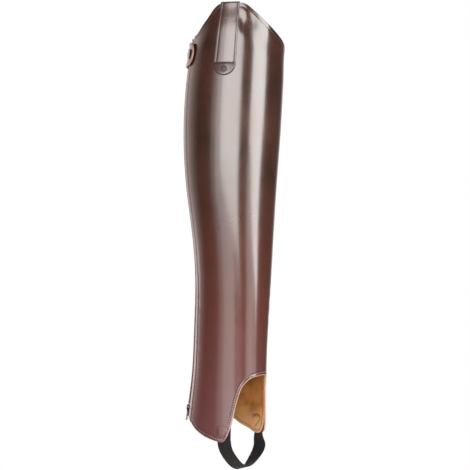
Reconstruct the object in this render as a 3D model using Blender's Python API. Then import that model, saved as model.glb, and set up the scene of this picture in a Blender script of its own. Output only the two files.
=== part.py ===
# A leather half chap for the right leg in its worn shape, with a rear zip and an elastic loop under the foot.
# +X points to the toe, +Y to the inner side of the leg and +Z up.
# The origin is on the leg's axis at the fullest calf.
# Lengths are millimetres. Turns are degrees round the leg, 0 at the shin and positive on the outer side.

import math

import bmesh
import bpy
import numpy as np
from mathutils import Vector

MM = 0.001

# Leather, cloth and seams
PANEL_WALL = 1.6
LINING_WALL = 1.0
TAPE_WALL = 0.8
ELASTIC_WALL = 1.3
STRAP_WALL = 1.3
TAB_WALL = 1.6
SEAM_GAP = 0.3
ELASTIC_SETBACK = 0.2

# Depth of each layer's outer face below the leather's outer face
LINING_DEPTH = PANEL_WALL + SEAM_GAP
ELASTIC_DEPTH = LINING_DEPTH + ELASTIC_SETBACK
POCKET_DEPTH = ELASTIC_DEPTH + ELASTIC_WALL + SEAM_GAP - LINING_DEPTH
INSIDE_DEPTH = LINING_DEPTH + LINING_WALL

# Zip
ZIP_TURN = 138.0
ZIP_HALF_GAP = 4.2
ZIP_TOP = 98.0
ZIP_FOOT = -320.5
ZIP_MARGIN = 30.0
CHAIN_HALF_WIDTH = 2.3
CHAIN_DEPTH = 1.5
CHAIN_WALL = 2.2
TAPE_INNER_EDGE = 2.7
TAPE_OUTER_EDGE = 11.7
LINING_EDGE = 12.1

# Slider and pull tab, measured from the slider's middle on the leather's surface
SLIDER_HEIGHT = -311.5
SLIDER_HALF_LENGTH = 5.5
SLIDER_HALF_WIDTH = 3.8
SLIDER_CORNER = 1.0
SLIDER_SHOULDER = 4.5
SLIDER_TAIL = 2.0
SLIDER_LIFT = -1.2
SLIDER_PLATE = 1.5
BRIDGE_WIDTH = 2.2
BRIDGE_HALF_LENGTH = 2.9
BRIDGE_TOP = 2.6
BRIDGE_BAR = 0.9
BRIDGE_CORNER = 0.7
BRIDGE_SINK = 0.8
PULL_AXIS_ALONG = 1.2
PULL_AXIS_LIFT = 1.0
PULL_WALL = 0.9
PULL_EYE = 4.4
PULL_EYE_HALF_WIDTH = 1.4
PULL_SHOULDER = 5.6
PULL_LENGTH = 14.0
PULL_HALF_WIDTH = 2.4
PULL_TIP_HALF_WIDTH = 1.9

# Snap tab over the zip's top
TAB_HEIGHT = 89.5
TAB_HALF_HEIGHT = 13.0
TAB_END = 19.0
TAB_ROOT = -34.0
TAB_LIFT_ROOT = 0.3
TAB_LIFT_SNAP = 1.5
TAB_FLARE = 1.3
TAB_RISE_START = -22.0
TAB_RISE_LENGTH = 16.0
SNAP_ALONG = 8.5
SNAP_CAP_RADIUS = 6.2
SNAP_CAP_WALL = 1.3
SNAP_BASE_RADIUS = 4.5
CAP_CROWN = 0.9
CAP_SHOULDER_SIZE = 0.86
CAP_SHOULDER_RISE = 0.65
CAP_TOP_SIZE = 0.5

# Pull strap over the top edge
STRAP_TURN = 69.5
STRAP_TOP_HALF_WIDTH = 10.3
STRAP_END_HALF_WIDTH = 12.0
STRAP_END = 64.0
STRAP_INSIDE_END = 112.0
STRAP_LIFT = 0.3
STUD_HEIGHT = 71.2
STUD_RADIUS = 3.3
STUD_WALL = 1.5

# Elastic loop under the foot
ELASTIC_HALF_WIDTH = 8.0
ELASTIC_HOLD = 20.0
HELD_RISES = (ELASTIC_HOLD, 13.0, 7.0, 2.0)
LOOP_ROWS = 22
LOOP_TILT = 0.29
LOOP_FLAT_SHARE = 0.67
POCKET_HALF_WIDTH = 10.8
POCKET_EASE = 6.0

# Grid of the two wraps: columns round the leg, and rows as shares of the way from bottom to top edge
WRAP_COLUMNS = 60
ROW_SHARES = (0, 0.012, 0.03, 0.05, 0.075, 0.11, 0.155, 0.21, 0.27, 0.34, 0.41, 0.48, 0.55, 0.62, 0.69, 0.76,
              0.83, 0.9, 0.955, 1)
FAN_SHARE = 0.35
ROUND_END_STEPS = 5
ROUND_END_FIRST = 14.0

# height, centre along X, depth to the shin, depth to the rear, half width
SECTIONS = (
    (-360, -13.5, 58.5, 48.0, 38.3),
    (-315, -11.0, 53.6, 43.5, 37.0),
    (-274, -8.0, 49.4, 40.0, 36.5),
    (-223, -4.5, 47.5, 40.0, 37.5),
    (-168, -1.5, 47.5, 40.0, 40.5),
    (-112, -1.5, 50.0, 43.0, 45.5),
    (-60, -3.0, 54.5, 48.5, 50.0),
    (0, -2.0, 58.0, 52.5, 53.5),
    (60, 2.0, 57.5, 52.0, 54.5),
    (103, 7.0, 55.0, 50.0, 54.0),
    (150, 12.0, 53.5, 48.5, 53.5),
)

# turn of the column at the top edge, its turn at the bottom edge, height of the bottom edge there
BOTTOM_EDGE = (
    (-222, -222, -322.5),
    (-160, -160, -322.5),
    (-112, -112, -326.0),
    (-84, -84, -336.8),
    (-65, -56.5, -343.0),
    (-56, -42, -336.5),
    (-45, -35.5, -317.0),
    (-34, -33, -300.0),
    (-24, -29, -281.0),
    (-14, -19, -272.8),
    (0, 0, -271.4),
    (14, 22, -273.0),
    (24, 39.7, -282.0),
    (34, 48.5, -300.0),
    (45, 53.2, -316.0),
    (57, 60.4, -337.5),
    (66, 67.5, -346.2),
    (84, 85, -342.5),
    (112, 112, -333.0),
    (138, 138, -322.5),
)

# turn, height of the top edge there
TOP_EDGE = (
    (-222, 108.0),
    (-150, 97.0),
    (-95, 91.0),
    (-55, 93.0),
    (-23, 100.7),
    (0, 110.0),
    (22, 122.8),
    (40, 135.0),
    (52, 141.2),
    (57, 141.9),
    (79, 141.9),
    (84, 140.8),
    (104, 124.5),
    (124, 112.5),
    (138, 109.0),
)

# turn of the tip's elastic, height of the leather's edge there
TIPS = ((65.5, -346.0), (-55.5, -343.0))

# free run of the elastic from the outer tip to the inner one: X, Y, Z
LOOP_PATH = (
    (10.8, -31.7, -350.0),
    (11.0, -28.9, -356.0),
    (11.4, -22.6, -363.7),
    (12.2, -12.5, -372.9),
    (13.3, 1.1, -379.3),
    (14.8, 15.2, -376.5),
    (16.1, 24.9, -370.5),
    (17.0, 31.3, -364.5),
    (17.9, 33.9, -356.6),
    (18.2, 30.3, -348.6),
)


def clear_scene():
    for item in list(bpy.data.objects):
        bpy.data.objects.remove(item)


def material(name, color, roughness, metallic=0.0):
    found = bpy.data.materials.new(name)
    found.use_nodes = True
    shader = found.node_tree.nodes["Principled BSDF"]
    shader.inputs["Base Color"].default_value = (*color, 1)
    shader.inputs["Roughness"].default_value = roughness
    shader.inputs["Metallic"].default_value = metallic
    return found


def natural_spline(knots, values):
    """Second derivatives of the smooth curve through the values at the knots."""
    count = len(knots)
    steps = np.diff(knots)
    system = np.eye(count)
    right = np.zeros(values.shape)
    for row in range(1, count - 1):
        system[row, row - 1] = steps[row - 1]
        system[row, row] = 2 * (steps[row - 1] + steps[row])
        system[row, row + 1] = steps[row]
        rise = (values[row + 1] - values[row]) / steps[row]
        before = (values[row] - values[row - 1]) / steps[row - 1]
        right[row] = 6 * (rise - before)
    return np.linalg.solve(system, right)


SECTION_TABLE = np.array(SECTIONS, float)
SECTION_BENDS = natural_spline(SECTION_TABLE[:, 0], SECTION_TABLE[:, 1:])


def leg_section(height):
    """Centre, shin depth, rear depth and half width of the leg at a height."""
    heights = SECTION_TABLE[:, 0]
    row = int(np.clip(np.searchsorted(heights, height) - 1, 0, len(heights) - 2))
    step = heights[row + 1] - heights[row]
    upper = (height - heights[row]) / step
    lower = 1 - upper
    values = SECTION_TABLE[:, 1:]
    bends = (lower**3 - lower) * SECTION_BENDS[row] + (upper**3 - upper) * SECTION_BENDS[row + 1]
    return lower * values[row] + upper * values[row + 1] + bends * step**2 / 6


def edge_value(table, at, column):
    """A table's column at a place between its rows, smooth and without overshoot."""
    places = [row[0] for row in table]
    values = [row[column] for row in table]
    row = int(np.clip(np.searchsorted(places, at) - 1, 0, len(places) - 2))
    slopes = [(values[i + 1] - values[i]) / (places[i + 1] - places[i]) for i in range(len(places) - 1)]

    def tangent(i):
        if i in (0, len(slopes)):
            return slopes[min(i, len(slopes) - 1)]
        before, after = slopes[i - 1], slopes[i]
        return 0.0 if before * after <= 0 else 2 * before * after / (before + after)

    step = places[row + 1] - places[row]
    t = (at - places[row]) / step
    start = (2 * t**3 - 3 * t**2 + 1) * values[row] + (t**3 - 2 * t**2 + t) * step * tangent(row)
    end = (3 * t**2 - 2 * t**3) * values[row + 1] + (t**3 - t**2) * step * tangent(row + 1)
    return start + end


def outer_face(turn, height):
    """Point on the leather's outer face."""
    centre, shin, rear, side = leg_section(height)
    angle = math.radians(turn)
    depth = shin if math.cos(angle) > 0 else rear
    return Vector((centre + depth * math.cos(angle), -side * math.sin(angle), height))


def face_frame(turn, height):
    """Point, outward normal, and unit directions along rising turn and along rising height."""
    step = 0.05
    along = outer_face(turn + step, height) - outer_face(turn - step, height)
    rise = outer_face(turn, height + step) - outer_face(turn, height - step)
    normal = rise.cross(along).normalized()
    return outer_face(turn, height), normal, along.normalized(), rise.normalized()


def layer_point(turn, height, lift):
    """Point moved out of the leather's outer face by lift, or into the leg when it is negative."""
    point, normal, _, _ = face_frame(turn, height)
    return point + normal * lift


def girth_per_degree(turn, height):
    step = 0.5
    return (outer_face(turn + step, height) - outer_face(turn - step, height)).length / (2 * step)


def turn_beside(turn, height, distance):
    """Turn that lies a distance along the girth from another, positive towards the shin."""
    return turn - distance / girth_per_degree(turn, height)


def clear_of_zip(turn, height, distance):
    """Turn of a wrap's column, drawn in near the zip so that the wrap ends at a distance from it."""
    gap = distance / girth_per_degree(ZIP_TURN, height)
    from_zip = ZIP_TURN - turn
    if from_zip < ZIP_MARGIN:
        from_zip = gap + from_zip * (ZIP_MARGIN - gap) / ZIP_MARGIN
    elif from_zip > 360 - ZIP_MARGIN:
        from_zip = 360 - gap - (360 - from_zip) * (ZIP_MARGIN - gap) / ZIP_MARGIN
    return ZIP_TURN - from_zip


def ease(value):
    value = min(1.0, max(0.0, value))
    return value * value * (3 - 2 * value)


def pocket(turn, height):
    """Share of the elastic's depth by which the lining stands in over the elastic's ends."""
    share = 0.0
    for tip_turn, edge in TIPS:
        beside = abs(turn - tip_turn) * girth_per_degree(tip_turn, edge)
        above = height - (edge + ELASTIC_HOLD)
        across = ease(1 - (beside - POCKET_HALF_WIDTH) / POCKET_EASE)
        upward = ease(1 - (above - POCKET_EASE) / (2 * POCKET_EASE))
        share = max(share, across * upward)
    return share


def lining_lift(turn, height):
    return -LINING_DEPTH - POCKET_DEPTH * pocket(turn, height)


def panel_lift(turn, height):
    return 0.0


def sheet_object(name, grid, finish, thickness, offset):
    """Object of a grid of points, rows of columns, thickened into a closed wall."""
    mesh = bpy.data.meshes.new(name)
    work = bmesh.new()
    rows = [[work.verts.new(point * MM) for point in row] for row in grid]
    for lower, upper in zip(rows, rows[1:]):
        for i in range(len(lower) - 1):
            work.faces.new((lower[i], lower[i + 1], upper[i + 1], upper[i]))
    work.to_mesh(mesh)
    work.free()
    mesh.shade_smooth()
    item = bpy.data.objects.new(name, mesh)
    bpy.context.collection.objects.link(item)
    mesh.materials.append(finish)
    wall = item.modifiers.new("wall", "SOLIDIFY")
    wall.thickness = thickness * MM
    wall.offset = offset
    wall.use_even_offset = True
    return item


def solid_object(name, work, finish, edge_angle=35):
    mesh = bpy.data.meshes.new(name)
    bmesh.ops.recalc_face_normals(work, faces=work.faces)
    work.to_mesh(mesh)
    work.free()
    mesh.shade_smooth()
    mesh.set_sharp_from_angle(angle=math.radians(edge_angle))
    item = bpy.data.objects.new(name, mesh)
    bpy.context.collection.objects.link(item)
    mesh.materials.append(finish)
    return item


def wrap(name, finish, lift, thickness, zip_distance):
    """A wrap from one side of the zip round the shin to the other, between the bottom and top edges."""
    grid = []
    for share in ROW_SHARES:
        fan = ease(share / FAN_SHARE)
        row = []
        for i in range(WRAP_COLUMNS + 1):
            column = ZIP_TURN - 360 * i / WRAP_COLUMNS
            low_turn = edge_value(BOTTOM_EDGE, column, 1)
            low = edge_value(BOTTOM_EDGE, column, 2)
            height = low + (edge_value(TOP_EDGE, column, 1) - low) * share
            turn = clear_of_zip(low_turn + (column - low_turn) * fan, height, zip_distance)
            row.append(layer_point(turn, height, lift(turn, height)))
        grid.append(row)
    return sheet_object(name, grid, finish, thickness, -1)


def zip_strip(name, finish, near, far, depth, thickness):
    """A strip along the zip between two distances from its middle, with the rows of the panel beside it."""
    foot, top = edge_value(BOTTOM_EDGE, ZIP_TURN, 2), edge_value(TOP_EDGE, ZIP_TURN, 1)
    heights = [foot + (top - foot) * share for share in ROW_SHARES]
    heights = [ZIP_FOOT] + [height for height in heights if ZIP_FOOT + 1 < height < ZIP_TOP - 1] + [ZIP_TOP]
    grid = []
    for height in heights:
        row = []
        for distance in np.linspace(near, far, 3):
            turn = turn_beside(ZIP_TURN, height, distance)
            row.append(layer_point(turn, height, -depth))
        grid.append(row)
    return sheet_object(name, grid, finish, thickness, -1)


class SurfaceSpot:
    """Flat drawing place on the leather: across along the girth, down along the leg, lift outwards."""

    def __init__(self, turn, height):
        self.origin, self.normal, _, rise = face_frame(turn, height)
        self.down = -rise
        self.across = self.down.cross(self.normal).normalized()

    def point(self, across, down, lift):
        return (self.origin + self.across * across + self.down * down + self.normal * lift) * MM


def prism(outline, low, high, place):
    """Closed prism of an outline between two levels. place turns (u, v, level) into a point."""
    work = bmesh.new()
    base = [work.verts.new(place(u, v, low)) for u, v in outline]
    cap = [work.verts.new(place(u, v, high)) for u, v in outline]
    work.faces.new(base[::-1])
    work.faces.new(cap)
    for i in range(len(outline)):
        j = (i + 1) % len(outline)
        work.faces.new((base[i], base[j], cap[j], cap[i]))
    return work


def circle(radius, sides=24):
    angles = [2 * math.pi * i / sides for i in range(sides)]
    return [(radius * math.cos(angle), radius * math.sin(angle)) for angle in angles]


def cap_solid(name, spot, finish, radius, low, high, crown=0.0):
    """Round metal cap on a spot, with a crown of that height on its top."""
    levels = [(radius, low), (radius, high - crown)]
    if crown:
        levels.append((radius * CAP_SHOULDER_SIZE, high - crown * (1 - CAP_SHOULDER_RISE)))
        levels.append((radius * CAP_TOP_SIZE, high))
    work = bmesh.new()
    rings = []
    for size, lift in levels:
        rings.append([work.verts.new(spot.point(u, v, lift)) for u, v in circle(size)])
    work.faces.new(rings[0][::-1])
    work.faces.new(rings[-1])
    for lower, upper in zip(rings, rings[1:]):
        for i in range(len(lower)):
            j = (i + 1) % len(lower)
            work.faces.new((lower[i], lower[j], upper[j], upper[i]))
    return solid_object(name, work, finish)


def guide(item):
    item.hide_render = True
    item.display_type = "WIRE"


def combine(item, other, operation):
    step = item.modifiers.new(other.name, "BOOLEAN")
    step.operation = operation
    step.object = other


def zip_slider(finish):
    """Slider plate with a bridge that the pull tab's eye goes round."""
    spot = SurfaceSpot(ZIP_TURN, SLIDER_HEIGHT)
    wide, long = SLIDER_HALF_WIDTH, SLIDER_HALF_LENGTH
    side = [(wide - SLIDER_CORNER, -long), (wide, SLIDER_SHOULDER - long), (wide, long - SLIDER_TAIL),
            (wide - SLIDER_TAIL, long)]
    outline = side + [(-across, down) for across, down in side[::-1]]
    top = SLIDER_LIFT + SLIDER_PLATE
    body = solid_object("zip_slider", prism(outline, SLIDER_LIFT, top, spot.point), finish)

    reach, high = BRIDGE_HALF_LENGTH, BRIDGE_TOP
    inner_reach, inner_high = reach - BRIDGE_BAR, high - BRIDGE_BAR
    corner = BRIDGE_CORNER
    foot = top - BRIDGE_SINK
    arch = [(-reach, foot), (-reach, high - corner), (corner - reach, high), (reach - corner, high),
            (reach, high - corner), (reach, foot), (inner_reach, foot), (inner_reach, inner_high),
            (-inner_reach, inner_high), (-inner_reach, foot)]

    def place(down, lift, across):
        return spot.point(across, down, lift)

    bridge = solid_object("bridge_guide", prism(arch, -BRIDGE_WIDTH / 2, BRIDGE_WIDTH / 2, place), finish)
    guide(bridge)
    combine(body, bridge, "UNION")
    return body


def zip_pull(finish):
    """Pull tab with an eye round the slider's bridge. The tab's origin is on its hinge axis."""
    spot = SurfaceSpot(ZIP_TURN, SLIDER_HEIGHT)
    axis = spot.point(0, PULL_AXIS_ALONG, PULL_AXIS_LIFT)
    half = PULL_WALL / 2
    wide, tip, hole = PULL_HALF_WIDTH, PULL_TIP_HALF_WIDTH, PULL_EYE_HALF_WIDTH

    def place(across, down, lift):
        return spot.point(across, down + PULL_AXIS_ALONG, lift + PULL_AXIS_LIFT) - axis

    outer = [(-wide, -half), (wide, -half), (wide, PULL_SHOULDER)]
    for degrees in range(0, 181, 30):
        angle = math.radians(degrees)
        outer.append((tip * math.cos(angle), PULL_LENGTH - tip + tip * math.sin(angle)))
    outer.append((-wide, PULL_SHOULDER))
    pull = solid_object("zip_pull", prism(outer, -half, half, place), finish)
    pull.location = axis

    eye = [(-hole, half), (hole, half), (hole, PULL_EYE), (-hole, PULL_EYE)]
    cutter = solid_object("eye_guide", prism(eye, -PULL_WALL, PULL_WALL, place), finish)
    cutter.location = axis
    guide(cutter)
    combine(pull, cutter, "DIFFERENCE")
    return pull


def rounded_end(radius):
    """Rows of a round end as distance from its tip and half width, from the narrow row to full width."""
    rows = []
    for degrees in np.linspace(ROUND_END_FIRST, 90, ROUND_END_STEPS):
        angle = math.radians(degrees)
        rows.append((radius * (1 - math.cos(angle)), radius * math.sin(angle)))
    return rows


def snap_tab(finish):
    """Strap end that comes from the inner side over the zip, with a round end on the outer side."""
    stations = []
    for back, half in rounded_end(TAB_HALF_HEIGHT):
        stations.append((TAB_END - back, half))
    square = TAB_END - TAB_HALF_HEIGHT
    for share in np.linspace(0, 1, 9)[1:]:
        stations.append((square + (TAB_ROOT - square) * share, TAB_HALF_HEIGHT))
    grid = []
    for share in np.linspace(-1, 1, 7):
        row = []
        for distance, half in stations:
            height = TAB_HEIGHT + half * share
            turn = turn_beside(ZIP_TURN, TAB_HEIGHT, distance)
            over = ease((distance - TAB_RISE_START) / TAB_RISE_LENGTH)
            flare = TAB_FLARE * max(0.0, (height - TAB_HEIGHT) / TAB_HALF_HEIGHT) ** 2 * over
            lift = TAB_LIFT_ROOT + (TAB_LIFT_SNAP - TAB_LIFT_ROOT) * over + flare
            row.append(layer_point(turn, height, lift + TAB_WALL / 2))
        grid.append(row[::-1])
    return sheet_object("snap_tab", grid, finish, TAB_WALL, 0)


def side_strap(finish):
    """Strap from its round end on the outer side up over the top edge and down inside the lining."""
    rim = edge_value(TOP_EDGE, STRAP_TURN, 1)
    outside = STRAP_LIFT + STRAP_WALL / 2
    inside = -(INSIDE_DEPTH + STRAP_LIFT + STRAP_WALL / 2)
    middle = (outside + inside) / 2
    bend = (outside - inside) / 2
    stations = []
    for back, half in rounded_end(STRAP_END_HALF_WIDTH):
        stations.append((STRAP_END + back, outside, half))
    start = STRAP_END + STRAP_END_HALF_WIDTH
    for share in np.linspace(0, 1, 6)[1:]:
        half = STRAP_END_HALF_WIDTH + (STRAP_TOP_HALF_WIDTH - STRAP_END_HALF_WIDTH) * share
        stations.append((start + (rim - start) * share, outside, half))
    for angle in np.radians((30, 60, 90, 120, 150, 180)):
        stations.append((rim + bend * math.sin(angle), middle + bend * math.cos(angle), STRAP_TOP_HALF_WIDTH))
    for share in np.linspace(0, 1, 4)[1:]:
        stations.append((rim + (STRAP_INSIDE_END - rim) * share, inside, STRAP_TOP_HALF_WIDTH))
    grid = []
    for height, lift, half in stations:
        row = []
        for share in np.linspace(-1, 1, 7):
            turn = turn_beside(STRAP_TURN, height, half * share)
            row.append(layer_point(turn, height, lift))
        grid.append(row)
    return sheet_object("side_strap", grid, finish, STRAP_WALL, 0)


def foot_elastic(finish):
    """Woven band: its ends lie between leather and lining at the tips, and its middle hangs in a loop."""
    layer = -(ELASTIC_DEPTH + ELASTIC_WALL / 2)
    shares = np.linspace(-1, 1, 5)

    def held_row(tip_turn, height):
        return [layer_point(turn_beside(tip_turn, height, ELASTIC_HALF_WIDTH * share), height, layer)
                for share in shares]

    (outer_turn, outer_edge), (inner_turn, inner_edge) = TIPS
    outer_rows = [held_row(outer_turn, outer_edge + rise) for rise in HELD_RISES]
    inner_rows = [held_row(inner_turn, inner_edge + rise)[::-1] for rise in HELD_RISES[::-1]]
    start, end = outer_rows[-1], inner_rows[0]
    middle = len(shares) // 2
    across_start = (start[-1] - start[0]).normalized()
    across_end = (end[-1] - end[0]).normalized()
    centres = [start[middle]] + [Vector(point) for point in LOOP_PATH] + [end[middle]]
    places = np.cumsum([0] + [(b - a).length for a, b in zip(centres, centres[1:])])
    table = np.array([tuple(point) for point in centres])
    bends = natural_spline(places, table)
    free_rows = []
    for step in range(1, LOOP_ROWS):
        share = step / LOOP_ROWS
        at = places[-1] * share
        row = int(np.clip(np.searchsorted(places, at) - 1, 0, len(places) - 2))
        span = places[row + 1] - places[row]
        upper = (at - places[row]) / span
        lower = 1 - upper
        curve = (lower**3 - lower) * bends[row] + (upper**3 - upper) * bends[row + 1]
        centre = Vector(lower * table[row] + upper * table[row + 1] + curve * span**2 / 6)
        across = across_start.lerp(across_end, ease(share))
        across.z += LOOP_TILT * math.sin(math.pi * share)
        across.normalize()
        edge = start if share < 0.5 else end
        bow = edge[middle] - (edge[0] + edge[-1]) / 2
        bow *= ease((abs(2 * share - 1) - LOOP_FLAT_SHARE) / (1 - LOOP_FLAT_SHARE))
        free_rows.append([centre + across * ELASTIC_HALF_WIDTH * s - bow * s * s for s in shares])
    return sheet_object("foot_elastic", outer_rows + free_rows + inner_rows, finish, ELASTIC_WALL, 0)


def build():
    clear_scene()
    burgundy = material("burgundy_leather", (0.15, 0.055, 0.05), 0.3)
    tan = material("tan_leather", (0.38, 0.17, 0.06), 0.6)
    tape = material("zip_tape", (0.03, 0.02, 0.018), 0.9)
    chain = material("zip_teeth", (0.05, 0.04, 0.035), 0.5)
    metal = material("zip_metal", (0.07, 0.065, 0.06), 0.35, 1.0)
    snap = material("snap_metal", (0.04, 0.04, 0.045), 0.3, 1.0)
    stud = material("stud_metal", (0.16, 0.09, 0.07), 0.4, 1.0)
    elastic = material("elastic", (0.015, 0.015, 0.015), 0.9)

    wrap("leg_panel", burgundy, panel_lift, PANEL_WALL, ZIP_HALF_GAP)
    wrap("leg_lining", tan, lining_lift, LINING_WALL, LINING_EDGE)
    zip_strip("zip_tape_outer", tape, TAPE_INNER_EDGE, TAPE_OUTER_EDGE, LINING_DEPTH, TAPE_WALL)
    zip_strip("zip_tape_inner", tape, -TAPE_OUTER_EDGE, -TAPE_INNER_EDGE, LINING_DEPTH, TAPE_WALL)
    zip_strip("zip_chain", chain, -CHAIN_HALF_WIDTH, CHAIN_HALF_WIDTH, CHAIN_DEPTH, CHAIN_WALL)
    zip_slider(metal)
    zip_pull(metal)
    snap_tab(burgundy)
    snap_turn = turn_beside(ZIP_TURN, TAB_HEIGHT, SNAP_ALONG)
    snap_spot = SurfaceSpot(snap_turn, TAB_HEIGHT)
    cap_low = TAB_LIFT_SNAP + TAB_WALL + SEAM_GAP
    cap_solid("snap_cap", snap_spot, snap, SNAP_CAP_RADIUS, cap_low, cap_low + SNAP_CAP_WALL, CAP_CROWN)
    cap_solid("snap_base", snap_spot, snap, SNAP_BASE_RADIUS, SEAM_GAP, TAB_LIFT_SNAP - SEAM_GAP)
    side_strap(burgundy)
    stud_spot = SurfaceSpot(STRAP_TURN, STUD_HEIGHT)
    stud_low = STRAP_LIFT + STRAP_WALL + SEAM_GAP
    cap_solid("strap_stud", stud_spot, stud, STUD_RADIUS, stud_low, stud_low + STUD_WALL, CAP_CROWN)
    foot_elastic(elastic)


build()
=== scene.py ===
import math

import bmesh
import bpy
import numpy as np
from mathutils import Matrix, Quaternion, Vector, kdtree


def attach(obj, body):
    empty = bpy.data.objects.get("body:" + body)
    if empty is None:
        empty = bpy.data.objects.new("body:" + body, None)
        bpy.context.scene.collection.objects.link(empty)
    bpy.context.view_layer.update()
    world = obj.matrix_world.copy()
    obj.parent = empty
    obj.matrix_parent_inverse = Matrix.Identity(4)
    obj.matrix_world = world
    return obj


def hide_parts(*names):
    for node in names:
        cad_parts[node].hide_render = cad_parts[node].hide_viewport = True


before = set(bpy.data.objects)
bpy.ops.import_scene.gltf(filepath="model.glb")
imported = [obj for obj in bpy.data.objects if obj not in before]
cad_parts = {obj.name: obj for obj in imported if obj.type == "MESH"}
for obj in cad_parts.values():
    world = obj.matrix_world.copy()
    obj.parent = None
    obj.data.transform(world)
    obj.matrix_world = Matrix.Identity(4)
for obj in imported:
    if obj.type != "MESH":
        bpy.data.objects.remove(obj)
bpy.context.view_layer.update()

# A polished leather half chap in its worn shape. Lengths in the dictionaries are millimetres.
# Turns are degrees round the leg, 0 at the shin and rising over the outer side to the zip at the rear.
mm = 0.001

legForm = {
    "sections": np.array([  # height, centre, depth to the shin, depth to the rear, half width
        (-360, -13.5, 58.5, 48.0, 38.3), (-315, -11.0, 53.6, 43.5, 37.0), (-274, -8.0, 49.4, 40.0, 36.5),
        (-223, -4.5, 47.5, 40.0, 37.5), (-168, -1.5, 47.5, 40.0, 40.5), (-112, -1.5, 50.0, 43.0, 45.5),
        (-60, -3.0, 54.5, 48.5, 50.0), (0, -2.0, 58.0, 52.5, 53.5), (60, 2.0, 57.5, 52.0, 54.5),
        (103, 7.0, 55.0, 50.0, 54.0), (150, 12.0, 53.5, 48.5, 53.5)], float),
    "hem": np.array([  # column at the top edge, its turn at the hem, height of the hem
        (-222, -222, -322.5), (-160, -160, -322.5), (-112, -112, -326.0), (-84, -84, -336.8),
        (-65, -56.5, -343.0), (-56, -42, -336.5), (-45, -35.5, -317.0), (-34, -33, -300.0),
        (-24, -29, -281.0), (-14, -19, -272.8), (0, 0, -271.4), (14, 22, -273.0), (24, 39.7, -282.0),
        (34, 48.5, -300.0), (45, 53.2, -316.0), (57, 60.4, -337.5), (66, 67.5, -346.2),
        (84, 85, -342.5), (112, 112, -333.0), (138, 138, -322.5)], float),
    "top": np.array([  # turn, height of the top edge
        (-222, 108.0), (-150, 97.0), (-95, 91.0), (-55, 93.0), (-23, 100.7), (0, 110.0), (22, 122.8),
        (40, 135.4), (52, 142.4), (57, 143.2), (79, 143.2), (84, 142.0), (104, 124.8), (124, 112.5),
        (138, 109.0)], float),
    "zipMargin": 30.0, "zipFade": 12.0, "fanShare": 0.35,
    "tips": ((65.5, -346.0), (-55.5, -343.0)),
    "leatherWall": 1.6, "liningDepth": 1.9, "liningWall": 1.0,
}
zipTurn, zipBack = 138.0, -222.0  # the same place, reached by both ways round

# How the leather has set in wear
wornForm = {
    "rimLean": 1.7, "strapRim": (31.0, 3.0), "shinRim": (38.0, 15.0), "rimShift": (61.0, 52.0),
    "shinShare": 0.35, "shinZone": (18.0, 22.0), "bulge": (49.0, 8.0, 10.0, 7.0, 0.8),  # beside the strap
    # turn, height, half length in degrees, climb in mm per degree, depth, spread
    "creases": (
        (-18, -188, 38, 0.10, 0.24, 7.0), (-26, -206, 34, -0.14, 0.32, 6.2), (-12, -222, 26, 0.16, 0.22, 5.6),
        (-30, -176, 34, 0.20, 0.22, 5.5), (58, -214, 26, -0.16, 0.06, 6.4), (66, -193, 22, 0.10, 0.05, 6.0),
        (52, -171, 24, -0.10, 0.05, 6.4), (74, -150, 20, 0.14, 0.05, 6.6), (60, -236, 20, 0.12, 0.05, 6.8),
        (112, -196, 24, 0.22, 0.30, 4.6), (104, -222, 26, -0.20, 0.34, 3.8), (118, -243, 18, 0.12, 0.22, 4.4),
        (-200, -190, 26, 0.18, 0.36, 4.4), (-190, -212, 30, -0.24, 0.30, 3.8), (-205, -236, 18, 0.10, 0.24, 5.0),
        (-120, -200, 34, 0.10, 0.26, 5.2), (-96, -226, 28, -0.16, 0.30, 4.0), (-132, -174, 22, -0.12, 0.18, 4.4),
        (-88, -158, 24, 0.20, 0.16, 5.6), (-178, -108, 22, 0.30, 0.30, 7.0), (-150, 62, 26, -0.20, 0.25, 9.0)),
}


def unit(vectors):
    return vectors / np.maximum(np.linalg.norm(vectors, axis=-1, keepdims=True), 1e-9)


def ease(value):
    value = np.clip(value, 0.0, 1.0)
    return value * value * (3 - 2 * value)


def bell(distance, spread):
    return np.exp(-(distance / spread) ** 2)


def splineBends(knots, values):  # second derivatives of a smooth curve through the values
    count, steps = len(knots), np.diff(knots)
    system, right = np.eye(count), np.zeros(values.shape)
    for row in range(1, count - 1):
        system[row, row - 1:row + 2] = steps[row - 1], 2 * (steps[row - 1] + steps[row]), steps[row]
        right[row] = 6 * ((values[row + 1] - values[row]) / steps[row]
                          - (values[row] - values[row - 1]) / steps[row - 1])
    return np.linalg.solve(system, right)


def splineAt(knots, values, bends, at):
    at = np.asarray(at, float)
    row = np.clip(np.searchsorted(knots, at) - 1, 0, len(knots) - 2)
    step = knots[row + 1] - knots[row]
    upper = ((at - knots[row]) / step)[..., None]
    lower = 1 - upper
    curve = (lower**3 - lower) * bends[row] + (upper**3 - upper) * bends[row + 1]
    return lower * values[row] + upper * values[row + 1] + curve * step[..., None] ** 2 / 6


sectionHeights = legForm["sections"][:, 0]
sectionValues = legForm["sections"][:, 1:]
sectionBends = splineBends(sectionHeights, sectionValues)


def edgeValue(table, at, column):  # smooth value between a table's rows, without overshoot
    places, values = table[:, 0], table[:, column]
    at = np.asarray(at, float)
    slopes = np.diff(values) / np.diff(places)
    before, after = slopes[:-1], slopes[1:]
    same = before * after > 0
    tangents = np.concatenate([slopes[:1], np.where(
        same, 2 * before * after / np.where(same, before + after, 1.0), 0.0), slopes[-1:]])
    row = np.clip(np.searchsorted(places, at) - 1, 0, len(places) - 2)
    step = places[row + 1] - places[row]
    t = (at - places[row]) / step
    start = (2 * t**3 - 3 * t**2 + 1) * values[row] + (t**3 - 2 * t**2 + t) * step * tangents[row]
    return start + (3 * t**2 - 2 * t**3) * values[row + 1] + (t**3 - t**2) * step * tangents[row + 1]


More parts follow.
